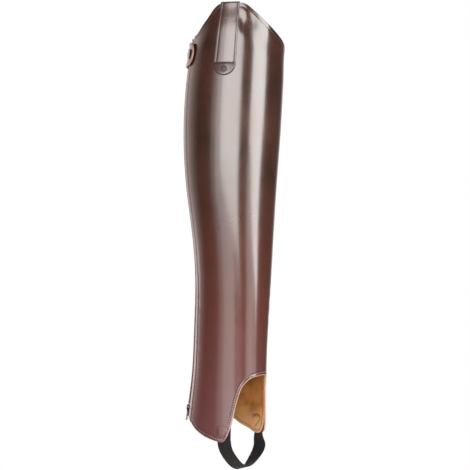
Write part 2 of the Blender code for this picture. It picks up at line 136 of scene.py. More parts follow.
def topHeight(turn):
    return edgeValue(legForm["top"], turn, 1)


def outerFace(turn, height):
    turn, height = np.broadcast_arrays(np.asarray(turn, float), np.asarray(height, float))
    centre, shin, rear, side = np.moveaxis(splineAt(sectionHeights, sectionValues, sectionBends, height), -1, 0)
    angle = np.radians(turn)
    depth = np.where(np.cos(angle) > 0, shin, rear)
    return np.stack([centre + depth * np.cos(angle), -side * np.sin(angle), height], -1)


def faceFrame(turn, height):  # point, outward normal, directions along rising turn and rising height
    step = 0.05
    along = outerFace(turn + step, height) - outerFace(turn - step, height)
    rise = outerFace(turn, height + step) - outerFace(turn, height - step)
    return outerFace(turn, height), unit(np.cross(rise, along)), unit(along), unit(rise)


def girthPerDegree(turn, height):
    return np.linalg.norm(outerFace(turn + 0.5, height) - outerFace(turn - 0.5, height), axis=-1)


def turnBeside(turn, height, distance):  # the turn that lies a distance towards the shin
    return turn - distance / girthPerDegree(turn, height)


def settle(turn, height):  # how far the worn leather stands off its smooth form
    turn, height = np.broadcast_arrays(np.asarray(turn, float), np.asarray(height, float))
    below = np.maximum(topHeight(turn) - height, 0)
    toShin = ease((turn - wornForm["rimShift"][0]) / (wornForm["rimShift"][1] - wornForm["rimShift"][0]))
    start, end = (first + (last - first) * toShin
                  for first, last in zip(wornForm["strapRim"], wornForm["shinRim"]))
    lean = ease((start - below) / (start - end))
    first, reach = wornForm["shinZone"]
    lean = lean * (wornForm["shinShare"] + (1 - wornForm["shinShare"]) * ease((turn - first) / reach))
    total = -wornForm["rimLean"] * lean
    at, spread, level, drop, rise = wornForm["bulge"]
    total = total + rise * bell(turn - at, spread) * bell(below - level, drop)
    for at, level, reach, climb, depth, spread in wornForm["creases"]:
        along = (turn - at + 180) % 360 - 180
        across = (height - level - climb * along) / spread
        ends = 1 - ease(np.abs(along) / reach)
        total = total + depth * ends * (across**2 - 0.6) * np.exp(-across**2)
    return total


def layerPoint(turn, height, lift):
    turn, height = np.broadcast_arrays(np.asarray(turn, float), np.asarray(height, float))
    point, normal, _, _ = faceFrame(turn, height)
    return point + normal * (lift + settle(turn, height))[..., None]


def onFace(turn, height, lift):
    return layerPoint(turn, height, lift), faceFrame(turn, height)[1]


def clearOfZip(turn, height, distance):
    margin = legForm["zipMargin"]
    gap = distance / girthPerDegree(zipTurn, height)
    away = zipTurn - turn
    near = gap + away * (margin - gap) / margin
    far = 360 - gap - (360 - away) * (margin - gap) / margin
    away = np.where(away < margin, near, np.where(away > 360 - margin, far, away))
    return zipTurn - away


def pocket(turn, height):  # where the lining stands in over the ends of the elastic
    share = np.zeros(np.broadcast(turn, height).shape)
    for tipTurn, edge in legForm["tips"]:
        beside = np.abs(turn - tipTurn) * girthPerDegree(tipTurn, edge)
        above = height - (edge + footBand["hold"])
        across = ease(1 - (beside - 10.8) / 6)
        share = np.maximum(share, across * ease(1 - (above - 6) / 12))
    return share


# Meshes

def meshPiece(name, vertices, faces, attributes=None, spread=None):
    mesh = bpy.data.meshes.new(name)
    mesh.from_pydata(np.asarray(vertices, float) * mm, [], faces)
    for label, values in (attributes or {}).items():
        mesh.attributes.new(label, "FLOAT", "POINT").data.foreach_set("value", np.asarray(values, np.float32))
    if spread is not None:  # flat measures in millimetres, along and across the cloth
        corners = np.zeros(len(mesh.loops), np.int32)
        mesh.loops.foreach_get("vertex_index", corners)
        layer = mesh.uv_layers.new(name="cloth")
        layer.data.foreach_set("uv", np.asarray(spread, np.float32)[corners].ravel())
    mesh.shade_smooth()
    item = bpy.data.objects.new(name, mesh)
    bpy.context.scene.collection.objects.link(item)
    return item


def quads(grid):
    return np.stack([grid[:-1, :-1], grid[:-1, 1:], grid[1:, 1:], grid[1:, :-1]], -1).reshape(-1, 4)


def sheetPiece(name, middle, normals, above, below, attributes=None, spread=None):
    # a sheet from the grid of its middle and its thickness both ways; its two faces meet all round the border
    outerIndex = np.arange(middle[..., 0].size).reshape(middle.shape[:2])
    innerIndex = outerIndex + outerIndex.size
    for index in (np.s_[0, :], np.s_[-1, :], np.s_[:, 0], np.s_[:, -1]):
        innerIndex[index] = outerIndex[index]
    faces = np.concatenate([quads(outerIndex), quads(innerIndex)[:, ::-1]])
    used, faces = np.unique(faces, return_inverse=True)
    both = np.concatenate([(middle + normals * above[..., None]).reshape(-1, 3),
                           (middle - normals * below[..., None]).reshape(-1, 3)])[used]
    values = {label: np.concatenate([np.ravel(pair[0]), np.ravel(pair[1])])[used]
              for label, pair in (attributes or {}).items()}
    flat = None if spread is None else np.concatenate([spread.reshape(-1, 2)] * 2)[used]
    item = meshPiece(name, both, faces.reshape(-1, 4).tolist(), values, flat)
    work = bmesh.new()
    work.from_mesh(item.data)
    bmesh.ops.remove_doubles(work, verts=work.verts, dist=0.0005 * mm)
    work.to_mesh(item.data)
    work.free()
    print(name, len(item.data.polygons))
    return item


def gridNormals(grid):
    across = np.gradient(grid, axis=1)
    up = np.gradient(grid, axis=0)
    return unit(np.cross(across, up))


def cutProfile(distance, depth, power=4.0):  # share of the half wall at a distance from a cut edge
    inside = np.clip(1 - distance / depth, 0, 1)
    return (1 - inside**power) ** (1 / power)


def lineDistance(points, line):
    tree = kdtree.KDTree(len(line))
    for i, point in enumerate(line):
        tree.insert(point, i)
    tree.balance()
    flat = points.reshape(-1, 3)
    return np.array([tree.find(point)[2] for point in flat]).reshape(points.shape[:-1])


def evenly(line, step, *others):  # a line resampled at an even step, and what goes with it
    places = np.concatenate([[0], np.cumsum(np.linalg.norm(np.diff(line, axis=0), axis=1))])
    at = np.arange(0.5, int(places[-1] / step)) * (places[-1] / int(places[-1] / step))
    return [np.stack([np.interp(at, places, part[:, k]) for k in range(part.shape[1])], 1)
            for part in (line, *others)]


# The wrap's grid: columns round the leg, rows from the hem to the top edge

edgeSteps = np.array([0, 0.01, 0.05, 0.13, 0.28, 0.5, 0.8, 1.2, 1.7, 2.2, 2.7, 3.2, 3.8, 4.5])
columnGap = 0.16


def wrapColumns(zipSteps, fine, coarse):
    middle = []
    at = zipTurn - zipSteps[-1]
    while at > zipBack + zipSteps[-1]:
        middle.append(at)
        at -= fine if 18 < at < 88 or -72 < at < -8 else coarse  # finer at the strap and at both tips
    return np.concatenate([zipTurn - zipSteps[:-1], middle, zipBack + zipSteps[::-1]])


def besideZip(columns):
    return ease(np.minimum(zipTurn - columns, columns - zipBack) / legForm["zipFade"])


def edgeInward(column, table, turnColumn, heightColumn, side):
    # direction from an edge into the leather, as millimetres along falling turn and rising height
    step = 0.05
    turn = edgeValue(table, column, turnColumn) if turnColumn else column
    high = edgeValue(table, column, heightColumn)
    turnRate = (edgeValue(table, column + step, turnColumn) - edgeValue(table, column - step, turnColumn)
                if turnColumn else np.full(column.shape, 2 * step)) / (2 * step)
    rate = (edgeValue(table, column + step, heightColumn)
            - edgeValue(table, column - step, heightColumn)) / (2 * step)
    along = unit(np.stack([girthPerDegree(turn, high) * turnRate, -rate], -1))
    return side * np.stack([-along[..., 1], along[..., 0]], -1), turn, high


def drawnIn(distance):  # true offset close to the edge, a steady one further in that fades away
    near = np.minimum(distance, 2.5)
    late = np.clip(distance - 2.5, 0, 3)
    return (near + late - late**2 / 6) * (1 - ease((distance - 10) / 110))


def wrapPlaces(columns, lowSteps, middleRows, highSteps, zipDistance):
    inHem, lowTurn, low = edgeInward(columns, legForm["hem"], 1, 2, 1)
    inTop, _, high = edgeInward(columns, legForm["top"], 0, 1, -1)
    shares = np.linspace(0, 1, middleRows + 2)[1:-1]
    rows = [low + d for d in lowSteps]
    rows += [low + lowSteps[-1] + (high - low - lowSteps[-1] - highSteps[-1]) * s for s in shares]
    rows += [high - d for d in highSteps[::-1]]
    height = np.stack(rows)
    fromHem, fromTop = height - low, high - height
    fan = ease(fromHem / (high - low) / legForm["fanShare"])
    turn = lowTurn + (columns - lowTurn) * fan
    upright = np.array([0.0, 1.0])
    shift = (drawnIn(fromHem)[..., None] * (inHem - upright)
             + drawnIn(fromTop)[..., None] * (inTop + upright)) * besideZip(columns)[None, :, None]
    turn = turn - shift[..., 0] / girthPerDegree(turn, height)
    height = height + shift[..., 1]
    # columns that would cross inside a tip are set a little apart
    spacing = columnGap * np.arange(len(columns))
    falling = np.minimum.accumulate(turn + spacing, axis=1)
    rising = np.maximum.accumulate((turn + spacing)[:, ::-1], axis=1)[:, ::-1]
    return clearOfZip((falling + rising) / 2 - spacing, height, zipDistance), height


def edgeLine(name, inset, zipDistance, lift, step=0.15):
    # a line at a distance inside the hem or the top edge, with its normals
    columns = np.arange(zipTurn, zipBack - step / 2, -step)
    table, places = legForm[name], (1, 2, 1) if name == "hem" else (0, 1, -1)
    inward, turn, height = edgeInward(columns, table, *places)
    upright = np.array([0.0, places[2]])
    shift = inset * (upright + (inward - upright) * besideZip(columns)[:, None])
    turn = turn - shift[:, 0] / girthPerDegree(turn, height)
    height = height + shift[:, 1]
    turn = clearOfZip(turn, height, zipDistance)
    return onFace(turn, height, lift(turn, height))


# Leather and lining

legLeather = {
    "zipDistance": 4.2, "edgeDepth": 0.5, "hemSeam": 3.3, "topSeam": 4.0, "zipSeam": 3.4,
    "seamDepth": 0.16, "seamSpread": 0.65, "foldPuff": 0.5, "foldReach": 5.6, "foldFade": 1.6,
    "threadFromZip": 1.5, "rawHem": 0.35, "paintedTop": 0.3, "archHeight": -345.0, "archFade": 8.0,
}
tipRelief = {  # the sewn-in end of the elastic, as it shows through the leather at each tip
    "half": 9.5, "halfFade": 5.0, "top": 20.5, "topBow": 0.03, "topFade": 6.0, "low": 4.5, "lowFade": 4.0,
    "rise": 0.34, "seamAt": 15.5, "seamBow": 0.05, "seamSpread": 1.5, "seamHalf": 7.4, "seamDepth": 0.16,
}

legLining = {
    "zipDistance": 12.1, "edgeDepth": 0.35, "seamDepth": 0.12, "seamSpread": 0.6, "threadFromZip": 1.4,
    "foldHeight": 21.5, "foldBow": 0.022, "foldHalf": 12.0, "crestAbove": 3.4, "crestRise": 0.9,
    "crestSpread": 2.2, "foldDepth": 1.0, "foldSpread": 1.7, "slitHeight": 12.0, "slitSlope": 0.75,
    "slitHalf": 8.0, "slitDepth": 0.7, "slitSpread": 1.1,
}

footBand = {
    "wall": 1.3, "halfWidth": 8.0, "hold": 20.0, "depth": 2.1, "tilt": 0.29, "flatShare": 0.67,
    "edgeDepth": 0.6, "ribDepth": 0.05, "ribWidth": 1.6,
    "path": np.array([  # free run from the outer tip to the inner one
        (10.8, -31.7, -350.0), (11.0, -28.9, -356.0), (11.4, -22.6, -363.7), (12.2, -12.5, -372.9),
        (13.3, 1.1, -379.3), (14.8, 15.2, -376.5), (16.1, 24.9, -370.5), (17.0, 31.3, -364.5),
        (17.9, 33.9, -356.6), (18.2, 30.3, -348.6)]),
    "twist": 0.4, "twistShift": np.array([-1.5, -0.95, 0.0]),  # the run to the inner tip turns towards the toe
}


def wrapPiece(name, places, wall, lift, relief, faces, made, marks):
    # the relief goes to the outer and the inner face by the two shares in faces
    turn, height = places

    def middleLift(turn, height):
        return lift(turn, height) - wall / 2

    middle = layerPoint(turn, height, middleLift(turn, height))
    fromHem, fromTop = (lineDistance(middle, edgeLine(edge, 0, made["zipDistance"], middleLift)[0])
                        for edge in ("hem", "top"))
    gap = made["zipDistance"] / girthPerDegree(zipTurn, height)
    fromZip = np.minimum(zipTurn - gap - turn, turn - zipBack - gap) * girthPerDegree(turn, height)
    fromZip[:, 0] = fromZip[:, -1] = 0
    fromHem[0], fromTop[-1] = 0, 0
    depth = made["edgeDepth"]
    share = np.minimum(np.minimum(cutProfile(fromHem, depth), cutProfile(fromTop, depth)),
                       cutProfile(fromZip, depth * 1.6))
    facts = (turn, height, fromHem, fromTop, fromZip)
    raised = relief(*facts)
    above, below = ((wall / 2 + raised * face) * share for face in faces)
    return sheetPiece(name, middle, gridNormals(middle), above, below, marks(*facts))


def tipSpots(turn, height):  # millimetres beside and above each tip
    return [((turn - tipTurn) * girthPerDegree(tipTurn, edge), height - edge)
            for tipTurn, edge in legForm["tips"]]


def leatherLift(turn, height):
    return np.zeros(np.shape(turn))


def leatherRelief(turn, height, fromHem, fromTop, fromZip):
    made = legLeather
    relief = -made["seamDepth"] * (bell(fromHem - made["hemSeam"], made["seamSpread"])
                                   + bell(fromTop - made["topSeam"], made["seamSpread"])
                                   + bell(fromZip - made["zipSeam"], made["seamSpread"]))
    relief = relief + made["foldPuff"] * (1 - ease((fromZip - made["foldReach"]) / made["foldFade"]))
    tip = tipRelief
    for x, y in tipSpots(turn, height):
        box = (ease((tip["half"] - np.abs(x)) / tip["halfFade"]) * ease((y - tip["low"]) / tip["lowFade"])
               * ease((tip["top"] - y - tip["topBow"] * x**2) / tip["topFade"]))
        sewn = bell(y - tip["seamAt"] + tip["seamBow"] * x**2, tip["seamSpread"])
        sewn = sewn * ease((tip["seamHalf"] - np.abs(x)) / 2.5)
        relief = relief + tip["rise"] * box - tip["seamDepth"] * sewn
    return relief


def leatherMarks(turn, height, fromHem, fromTop, fromZip):
    made = legLeather
    # stitch lines are darkened, as dark needle holes and as painted shade in their grooves
    seam = np.maximum(np.maximum(bell(fromHem - made["hemSeam"], 0.9), bell(fromTop - made["topSeam"], 0.8)),
                      bell(fromZip - made["zipSeam"], 0.8))
    rawHem = 1 - ease((fromHem - made["rawHem"]) / 0.75)
    arch = ease((height - made["archHeight"]) / made["archFade"])
    paint = 1 - ease((fromTop - made["paintedTop"]) / 0.5)
    return {"cutEdge": (rawHem * arch, rawHem), "edgePaint": (paint, paint), "seamLine": (seam, seam * 0)}


zipSteps = 1.45 * edgeSteps[edgeSteps != 0.8]
lowSteps = np.concatenate([edgeSteps, np.arange(5.4, 34, 1.15)])
highSteps = np.concatenate([edgeSteps, np.arange(5.8, 34, 2.4)])
columns = wrapColumns(np.concatenate([zipSteps, [8.0, 10.0]]), 0.85, 2.0)
places = wrapPlaces(columns, lowSteps, 96, highSteps, legLeather["zipDistance"])
leatherPanel = wrapPiece("leatherPanel", places, legForm["leatherWall"], leatherLift, leatherRelief, (1, 0),
                         legLeather, leatherMarks)


def sewnEnd(x, y):  # the fold over the elastic's sewn end and the slit beside it, as distances
    made = legLining
    return y - made["foldHeight"] + made["foldBow"] * x**2, y - made["slitHeight"] - made["slitSlope"] * x


def liningRelief(turn, height, fromHem, fromTop, fromZip):
    made = legLining
    relief = -made["seamDepth"] * (bell(fromHem - legLeather["hemSeam"], made["seamSpread"])
                                   + bell(fromTop - legLeather["topSeam"], made["seamSpread"]))
    for x, y in tipSpots(turn, height):
        fold, slit = sewnEnd(x, y)
        crest = made["crestRise"] * bell(fold - made["crestAbove"], made["crestSpread"])
        crest = crest - made["foldDepth"] * bell(fold, made["foldSpread"])
        cut = made["slitDepth"] * bell(slit, made["slitSpread"])
        relief = relief + crest * ease((made["foldHalf"] - np.abs(x)) / 4)
        relief = relief - cut * ease((made["slitHalf"] - np.abs(x)) / 2)
    return relief


def liningLift(turn, height):
    return -legForm["liningDepth"] - pocketDepth * pocket(turn, height)


def liningMarks(turn, height, fromHem, fromTop, fromZip):
    seam = np.maximum(bell(fromHem - legLeather["hemSeam"], 0.8), bell(fromTop - legLeather["topSeam"], 0.8))
    for x, y in tipSpots(turn, height):
        fold, slit = sewnEnd(x, y)
        # painted shadow under the fold over the elastic's end, and painted shade in the slit beside it
        foldShadow = bell(fold, 2.1) * ease((legLining["foldHalf"] - 0.5 - np.abs(x)) / 4)
        cut = 0.8 * bell(slit, legLining["slitSpread"]) * ease((legLining["slitHalf"] - np.abs(x)) / 2)
        seam = np.maximum(seam, np.maximum(foldShadow, cut))
    raw = 1 - ease((fromHem - 0.25) / 0.5)
    return {"cutEdge": (raw, raw), "seamLine": (seam * 0, seam)}


pocketDepth = footBand["depth"] + footBand["wall"] + 0.3 - legForm["liningDepth"]
lowSteps = np.concatenate([edgeSteps[edgeSteps < 4], np.arange(4.6, 40, 1.4)])
highSteps = np.concatenate([edgeSteps[edgeSteps < 5], [7, 10, 14]])
columns = wrapColumns(zipSteps[zipSteps < 3], 1.1, 3.2)
places = wrapPlaces(columns, lowSteps, 60, highSteps, legLining["zipDistance"])
leatherLining = wrapPiece("leatherLining", places, legForm["liningWall"], liningLift, liningRelief, (0, 1),
                          legLining, liningMarks)


# Strips and bands

acrossSteps = np.array([0, 0.01, 0.06, 0.18, 0.4, 0.75, 1.2, 1.8, 2.6, 3.6])


def acrossShares(half, steps=acrossSteps, middle=7):  # places across a strip, close together at its edges
    left = steps / half - 1
    return np.concatenate([left, np.linspace(left[-1], -left[-1], middle)[1:-1], -left[::-1]])


def stripShare(fromEdge, depth, power=4.0):  # as cutProfile, and nothing on the border
    share = cutProfile(fromEdge, depth, power)
    share[[0, -1]] = 0
    share[:, [0, -1]] = 0
    return share


def stripPlaces(radius, rest, halfRest, shares, length):
    # a strip with one round end: distance from its tip, place across it, and distance from the nearest edge
    angles = np.radians([0, 3, 6, 10, 15, 20, 26, 33, 41, 50, 60, 70, 80, 90])
    half = np.concatenate([radius * np.sin(angles), halfRest])
    across = half[:, None] * shares
    fromTip = np.concatenate([radius * (1 - np.cos(angles)), rest])[:, None] + 0 * across
    fromRound = radius - np.hypot(np.maximum(radius - fromTip, 0), across)
    fromEdge = np.where(fromTip < radius, fromRound, half[:, None] - np.abs(across))
    return fromTip, across, np.maximum(np.minimum(fromEdge, length - fromTip), 0)


def stripNormals(points):
    normals = gridNormals(points)
    normals[:3] = normals[3]  # the rows meet in the tip, where they give no direction
    return normals


zipTape = {
    "near": 0.35, "far": 11.7, "wall": 0.8, "foot": -320.5, "top": 105.5, "rows": 150, "edgeDepth": 0.3,
}


def zipStrip(name, side):
    made = zipTape
    half = (made["far"] - made["near"]) / 2
    across = half * acrossShares(half, middle=3)
    height = np.linspace(made["foot"], made["top"], made["rows"])[:, None] + 0 * across
    reach = (made["far"] + made["near"]) / 2 * side + across + 0 * height
    level = -legForm["liningDepth"] - made["wall"] / 2
    points = layerPoint(turnBeside(zipTurn, height, reach), height, level)
    thick = made["wall"] / 2 * stripShare(half - np.abs(across) + 0 * height, made["edgeDepth"])
    return sheetPiece(name, points, gridNormals(points), thick, thick, None, np.stack([reach, height], -1))


zipTapeOuter = zipStrip("zipTapeOuter", 1)
zipTapeInner = zipStrip("zipTapeInner", -1)


snapTabShape = {
    "height": 89.5, "half": 13.0, "end": 19.0, "root": -34.0, "wall": 1.6, "edgeDepth": 0.55, "liftRoot": 0.3,
    "liftSnap": 1.5, "flare": 1.3, "slope": 0.12, "riseStart": -22.0, "riseLength": 16.0,
    "seam": 2.2, "seamStart": -21.0, "seamDepth": 0.2, "seamSpread": 0.55, "threadSink": 0.1,
    "field": 0.14, "fieldStart": 2.8, "fieldFade": 2.5, "rawEdge": 0.5, "snapAlong": 8.5,
}


def tabPoint(distance, across, lift):  # distance along the tab from the zip, across upwards
    made = snapTabShape
    turn = turnBeside(zipTurn, made["height"], distance)
    over = ease((distance - made["riseStart"]) / made["riseLength"])
    flare = made["flare"] * np.maximum(0, across / made["half"]) ** 2 * over
    base = made["liftRoot"] + (made["liftSnap"] - made["liftRoot"]) * over + flare + made["wall"] / 2
    slope = made["slope"] * np.minimum(distance, 0)
    return layerPoint(turn, made["height"] + slope + across, base + lift)


def tabPiece():
    made = snapTabShape
    length = made["end"] - made["root"]
    rest = np.concatenate([np.linspace(made["half"], length - 2.6, 30)[1:],
                           length - acrossSteps[acrossSteps < 2.6][::-1]])
    shares = acrossShares(made["half"], middle=15)
    fromTip, across, fromEdge = stripPlaces(made["half"], rest, made["half"] + 0 * rest, shares, length)
    points = tabPoint(made["end"] - fromTip, across, 0)[:, ::-1]
    share = stripShare(fromEdge, made["edgeDepth"])
    relief = (made["field"] * ease((fromEdge - made["fieldStart"]) / made["fieldFade"])
              - made["seamDepth"] * bell(fromEdge - made["seam"], made["seamSpread"]))
    raw = 1 - ease((fromEdge - made["rawEdge"]) / 0.6)
    # the seam mark darkens the tab's stitch groove, partly as painted shade
    seam = bell(fromEdge - made["seam"], 0.7)
    return sheetPiece("snapTab", points, stripNormals(points), (made["wall"] / 2 + relief) * share,
                      made["wall"] / 2 * share,
                      {"cutEdge": (raw, raw), "seamLine": (seam, seam), "edgePaint": (raw * 0, raw * 0)})


snapTab = tabPiece()


pullStrap = {
    "turn": 69.6, "topHalf": 10.8, "endHalf": 12.4, "end": 64.0, "insideEnd": 112.0, "wall": 1.3, "lift": 0.3,
    "groove": 2.4, "grooveDepth": 0.5, "topDip": 0.55, "dipLength": 16.0, "field": 0.2, "fieldStart": 3.0,
    "fieldFade": 1.5, "flatten": 0.45, "tongueRise": 1.7, "tongueFade": 1.2, "foldRise": 1.0, "foldShare": 0.74,
    "crossSeam": 78.3, "crossDepth": 0.5, "crossSpread": 0.5, "crossReach": 9.4, "threadSink": 0.96,
    "crossSink": 0.66, "studHeight": 71.2, "studLift": 0.6,
}
strapRim = float(topHeight(pullStrap["turn"]))
strapOut = pullStrap["lift"] + pullStrap["wall"] / 2
strapIn = -(legForm["liningDepth"] + legForm["liningWall"] + strapOut)
strapBend = (strapOut - strapIn) / 2
strapUp = strapRim - pullStrap["end"]
strapOver = strapUp + math.pi * strapBend * pullStrap["foldShare"]  # the fold is flatter than a half circle
strapLength = strapOver + strapRim - pullStrap["insideEnd"]
strapSeamAt = pullStrap["crossSeam"] - pullStrap["end"]


def strapPoint(along, across, lift):  # along from the round end, up over the top edge and down inside
    angle = np.clip((along - strapUp) / (strapOver - strapUp), 0, 1) * math.pi
    height = np.where(along < strapUp, pullStrap["end"] + along, strapRim - np.maximum(along - strapOver, 0))
    height = height + (pullStrap["foldRise"] + lift) * np.sin(angle)
    level = (strapOut + strapIn) / 2 + (strapBend + lift) * np.cos(angle)
    return layerPoint(turnBeside(pullStrap["turn"], height, across), height, level)


def strapHalf(along):  # it narrows towards the top edge
    start, top = pullStrap["endHalf"], pullStrap["topHalf"]
    return start + (top - start) * np.clip((along - start) / (strapUp - start), 0, 1)


def strapPiece():
    made = pullStrap
    last = strapLength - acrossSteps[acrossSteps < 2][::-1]
    rest = np.concatenate([np.arange(made["endHalf"], strapUp, 1.1)[1:], np.linspace(strapUp, strapOver, 15),
                           np.arange(strapOver, last[0], 1.6)[1:], last])
    grooveSteps = np.concatenate([acrossSteps[acrossSteps < 1.5], made["groove"] + np.linspace(-0.8, 0.8, 9)])
    shares = acrossShares(made["topHalf"], grooveSteps, middle=11)
    along, across, fromEdge = stripPlaces(made["endHalf"], rest, strapHalf(rest), shares, strapLength)
    points = strapPoint(along, across, 0)
    tongue = 1 - ease((along - strapSeamAt) / made["tongueFade"])  # the end under the cross seam
    body = 1 - tongue
    toShin = ease(0.5 + across / made["topHalf"])
    share = stripShare(fromEdge, 0.35 + 1.15 * tongue, 4 - 2 * tongue)
    groove = bell(fromEdge - made["groove"], 0.28 + 0.07 * toShin) * (0.2 + 0.8 * toShin)
    flat = made["flatten"] * (1 - (across / made["endHalf"]) ** 2)
    cross = bell(along - strapSeamAt, made["crossSpread"])
    dip = made["topDip"] * np.clip(1 - (strapUp - along) / made["dipLength"], 0, 1) ** 1.5
    field = made["field"] * ease((fromEdge - made["fieldStart"]) / made["fieldFade"])
    wedge = made["tongueRise"] * np.clip(1 - along / strapSeamAt, 0, 1)
    sunk = made["crossDepth"] * cross * ease((fromEdge - 0.8) / 0.8)
    relief = (field - made["grooveDepth"] * groove - flat) * body + wedge - sunk - dip
    relief = relief * (1 - ease((along - strapUp) / 4))  # only outside the leg
    # raw widens the dark edge paint towards the shin and round the tongue as a painted shadow; rim, the tongue
    # share and the shin edge add painted shade through the seam marks
    raw = 1 - ease((fromEdge - 0.45 - 0.55 * toShin - 0.9 * toShin * tongue) / 0.4)
    sewn = bell(fromEdge - made["groove"], 0.22 + 0.28 * toShin) * (0.7 + 0.3 * toShin)
    rim = 0.4 * (1 - ease((fromEdge - 1.6) / 0.8)) * (1 - toShin)
    seam = np.max([sewn * body, rim * body, cross, 0.18 * tongue, 0.8 * raw * toShin], 0)
    return sheetPiece("sideStrap", points, stripNormals(points), (made["wall"] / 2 + relief) * share,
                      made["wall"] / 2 * share,
                      {"cutEdge": (raw * 0, raw * 0), "edgePaint": (raw, raw), "seamLine": (seam, seam * 0)})


sideStrap = strapPiece()


def heldRows(tip, shares):  # the band's end between leather and lining, from its top down
    tipTurn, edge = legForm["tips"][tip]
    height = edge + np.linspace(footBand["hold"], 2.0, 14)[:, None] + 0 * shares
    turn = turnBeside(tipTurn, height, footBand["halfWidth"] * shares)
    return layerPoint(turn, height, -(footBand["depth"] + footBand["wall"] / 2))


def footBandPiece():
    made = footBand
    shares = acrossShares(made["halfWidth"], np.array([0, 0.05, 0.2, 0.5, 0.9]), 27)
    first, last = heldRows(0, shares), heldRows(1, -shares)[::-1]
    start, end = first[-1], last[0]
    middle = len(shares) // 2
    acrossStart, acrossEnd = unit(start[-1] - start[0]), unit(end[-1] - end[0])
    centres = np.vstack([start[middle], made["path"], end[middle]])
    spots = np.concatenate([[0], np.cumsum(np.linalg.norm(np.diff(centres, axis=0), axis=1))])
    bends = splineBends(spots, centres)
    reach = made["halfWidth"] * shares[:, None]
    free = []
    for share in np.linspace(0, 1, 121)[1:-1]:
        before, centre, ahead = splineAt(
            spots, centres, bends, spots[-1] * np.array([max(share - 0.01, 0), share, min(share + 0.01, 1)]))
        run = unit(ahead - before)
        across = acrossStart + (acrossEnd - acrossStart) * ease(share)
        across = unit(across + np.array([0, 0, made["tilt"] * math.sin(math.pi * share)]))
        twist = ease((share - 0.52) / 0.22) * ease((1 - share) / 0.14)
        turned = np.array([0, made["twist"] * twist, 0])
        across = unit(across + turned - run * (turned @ run))
        edge = start if share < 0.5 else end
        bow = edge[middle] - (edge[0] + edge[-1]) / 2
        bow = bow * ease((abs(2 * share - 1) - made["flatShare"]) / (1 - made["flatShare"]))
        free.append(centre + made["twistShift"] * twist + across * reach - bow * shares[:, None] ** 2)
    points = np.concatenate([first, np.array(free), last])
    lengths = np.linalg.norm(np.diff(points[:, middle], axis=0), axis=1)
    along = np.concatenate([[0], np.cumsum(lengths)])[:, None]
    reach = made["halfWidth"] * shares + 0 * along
    fromEdge = made["halfWidth"] - np.abs(reach)
    rib = made["ribDepth"] * np.cos(2 * math.pi * reach / made["ribWidth"]) * ease(fromEdge - 1)
    thick = (made["wall"] / 2 - made["ribDepth"] + rib) * stripShare(fromEdge, made["edgeDepth"], 2.0)
    return sheetPiece("footElastic", points, gridNormals(points), thick, thick,
                      None, np.stack([reach, along + 0 * reach], -1))


footElastic = footBandPiece()


# Hard pieces, drawn in millimetres at the origin and then set in place

def spotMatrix(turn, height, lift=0.0):  # x across the girth, y down the leg, z out of the leather
    point, normal, _, rise = faceFrame(turn, height)
    across = unit(np.cross(-rise, normal))
    place = Matrix.Identity(4)
    for row in range(3):
        place[row][0:3] = across[row], -rise[row], normal[row]
        place[row][3] = (point + normal * (lift + settle(turn, height)))[row]
    return Matrix.Scale(mm, 4) @ place


def startEdit():
    bpy.ops.object.mode_set(mode="EDIT")
    bpy.ops.mesh.select_all(action="SELECT")


def grow(x, y, z, level=0.0):  # about a point on the z axis
    bpy.ops.transform.resize(value=(x, y, z), center_override=(0, 0, level))


def move(x, y, z):
    bpy.ops.transform.translate(value=(x, y, z))


def startCube(size, middle):
    bpy.ops.object.select_all(action="DESELECT")
    bpy.ops.mesh.primitive_cube_add(size=1, location=(0, 0, 0))
    startEdit()
    grow(*size)
    move(*middle)


def pick(kind, test):  # selects by the middle and the normal of each vertex, edge or face
    bpy.ops.mesh.select_mode(type=kind)
    bpy.ops.mesh.select_all(action="DESELECT")
    mesh = bpy.context.object.data
    work = bmesh.from_edit_mesh(mesh)
    for part in {"VERT": work.verts, "EDGE": work.edges, "FACE": work.faces}[kind]:
        corners = [part.co] if kind == "VERT" else [corner.co for corner in part.verts]
        middle = sum(corners, Vector()) / len(corners)
        facing = (corners[0] - corners[-1]).normalized() if kind == "EDGE" else part.normal
        part.select_set(bool(test(middle, facing)))
    work.select_flush_mode()
    bmesh.update_edit_mesh(mesh)


def cutAcross(axis, level):
    bpy.ops.mesh.select_all(action="SELECT")
    plane = [0.0, 0.0, 0.0]
    plane[axis] = 1.0
    bpy.ops.mesh.bisect(plane_co=[level * part for part in plane], plane_no=plane)


def insetFaces(test, thickness, depth=0.0, single=False):
    pick("FACE", test)
    bpy.ops.mesh.inset(thickness=thickness, depth=depth, use_individual=single)


def openThrough(test, rim):  # a hole between two opposite faces
    insetFaces(test, rim, single=True)
    bpy.ops.mesh.bridge_edge_loops()


def roundEdges(test, offset, segments):
    pick("EDGE", test)
    bpy.ops.mesh.bevel(offset=offset, segments=segments, affect="EDGES")


def finishPiece(name, place, rounding, segments=2):
    bpy.ops.mesh.select_all(action="SELECT")
    bpy.ops.mesh.normals_make_consistent(inside=False)
    bpy.ops.object.mode_set(mode="OBJECT")
    item = bpy.context.object
    item.name = item.data.name = name
    if rounding:
        soft = item.modifiers.new("softEdges", "BEVEL")
        soft.width, soft.segments = rounding, segments
        soft.limit_method, soft.angle_limit = "ANGLE", math.radians(28)
        bpy.ops.object.modifier_apply(modifier="softEdges")
    bpy.ops.object.shade_smooth_by_angle(angle=math.radians(42))
    item.data.transform(place)
    print(name, len(item.data.polygons))
    return item


def turnedPiece(name, place, profile, sides=48):  # rings of (radius, height) drawn up from a disc
    bpy.ops.object.select_all(action="DESELECT")
    bpy.ops.mesh.primitive_circle_add(vertices=sides, radius=profile[0][0], fill_type="NGON",
                                      location=(0, 0, 0))
    startEdit()
    move(0, 0, profile[0][1])
    for (size, level), (newSize, newLevel) in zip(profile, profile[1:]):
        bpy.ops.mesh.extrude_region_move(TRANSFORM_OT_translate={"value": (0, 0, newLevel - level)})
        grow(newSize / size, newSize / size, 1, newLevel)
    return finishPiece(name, place, 0)


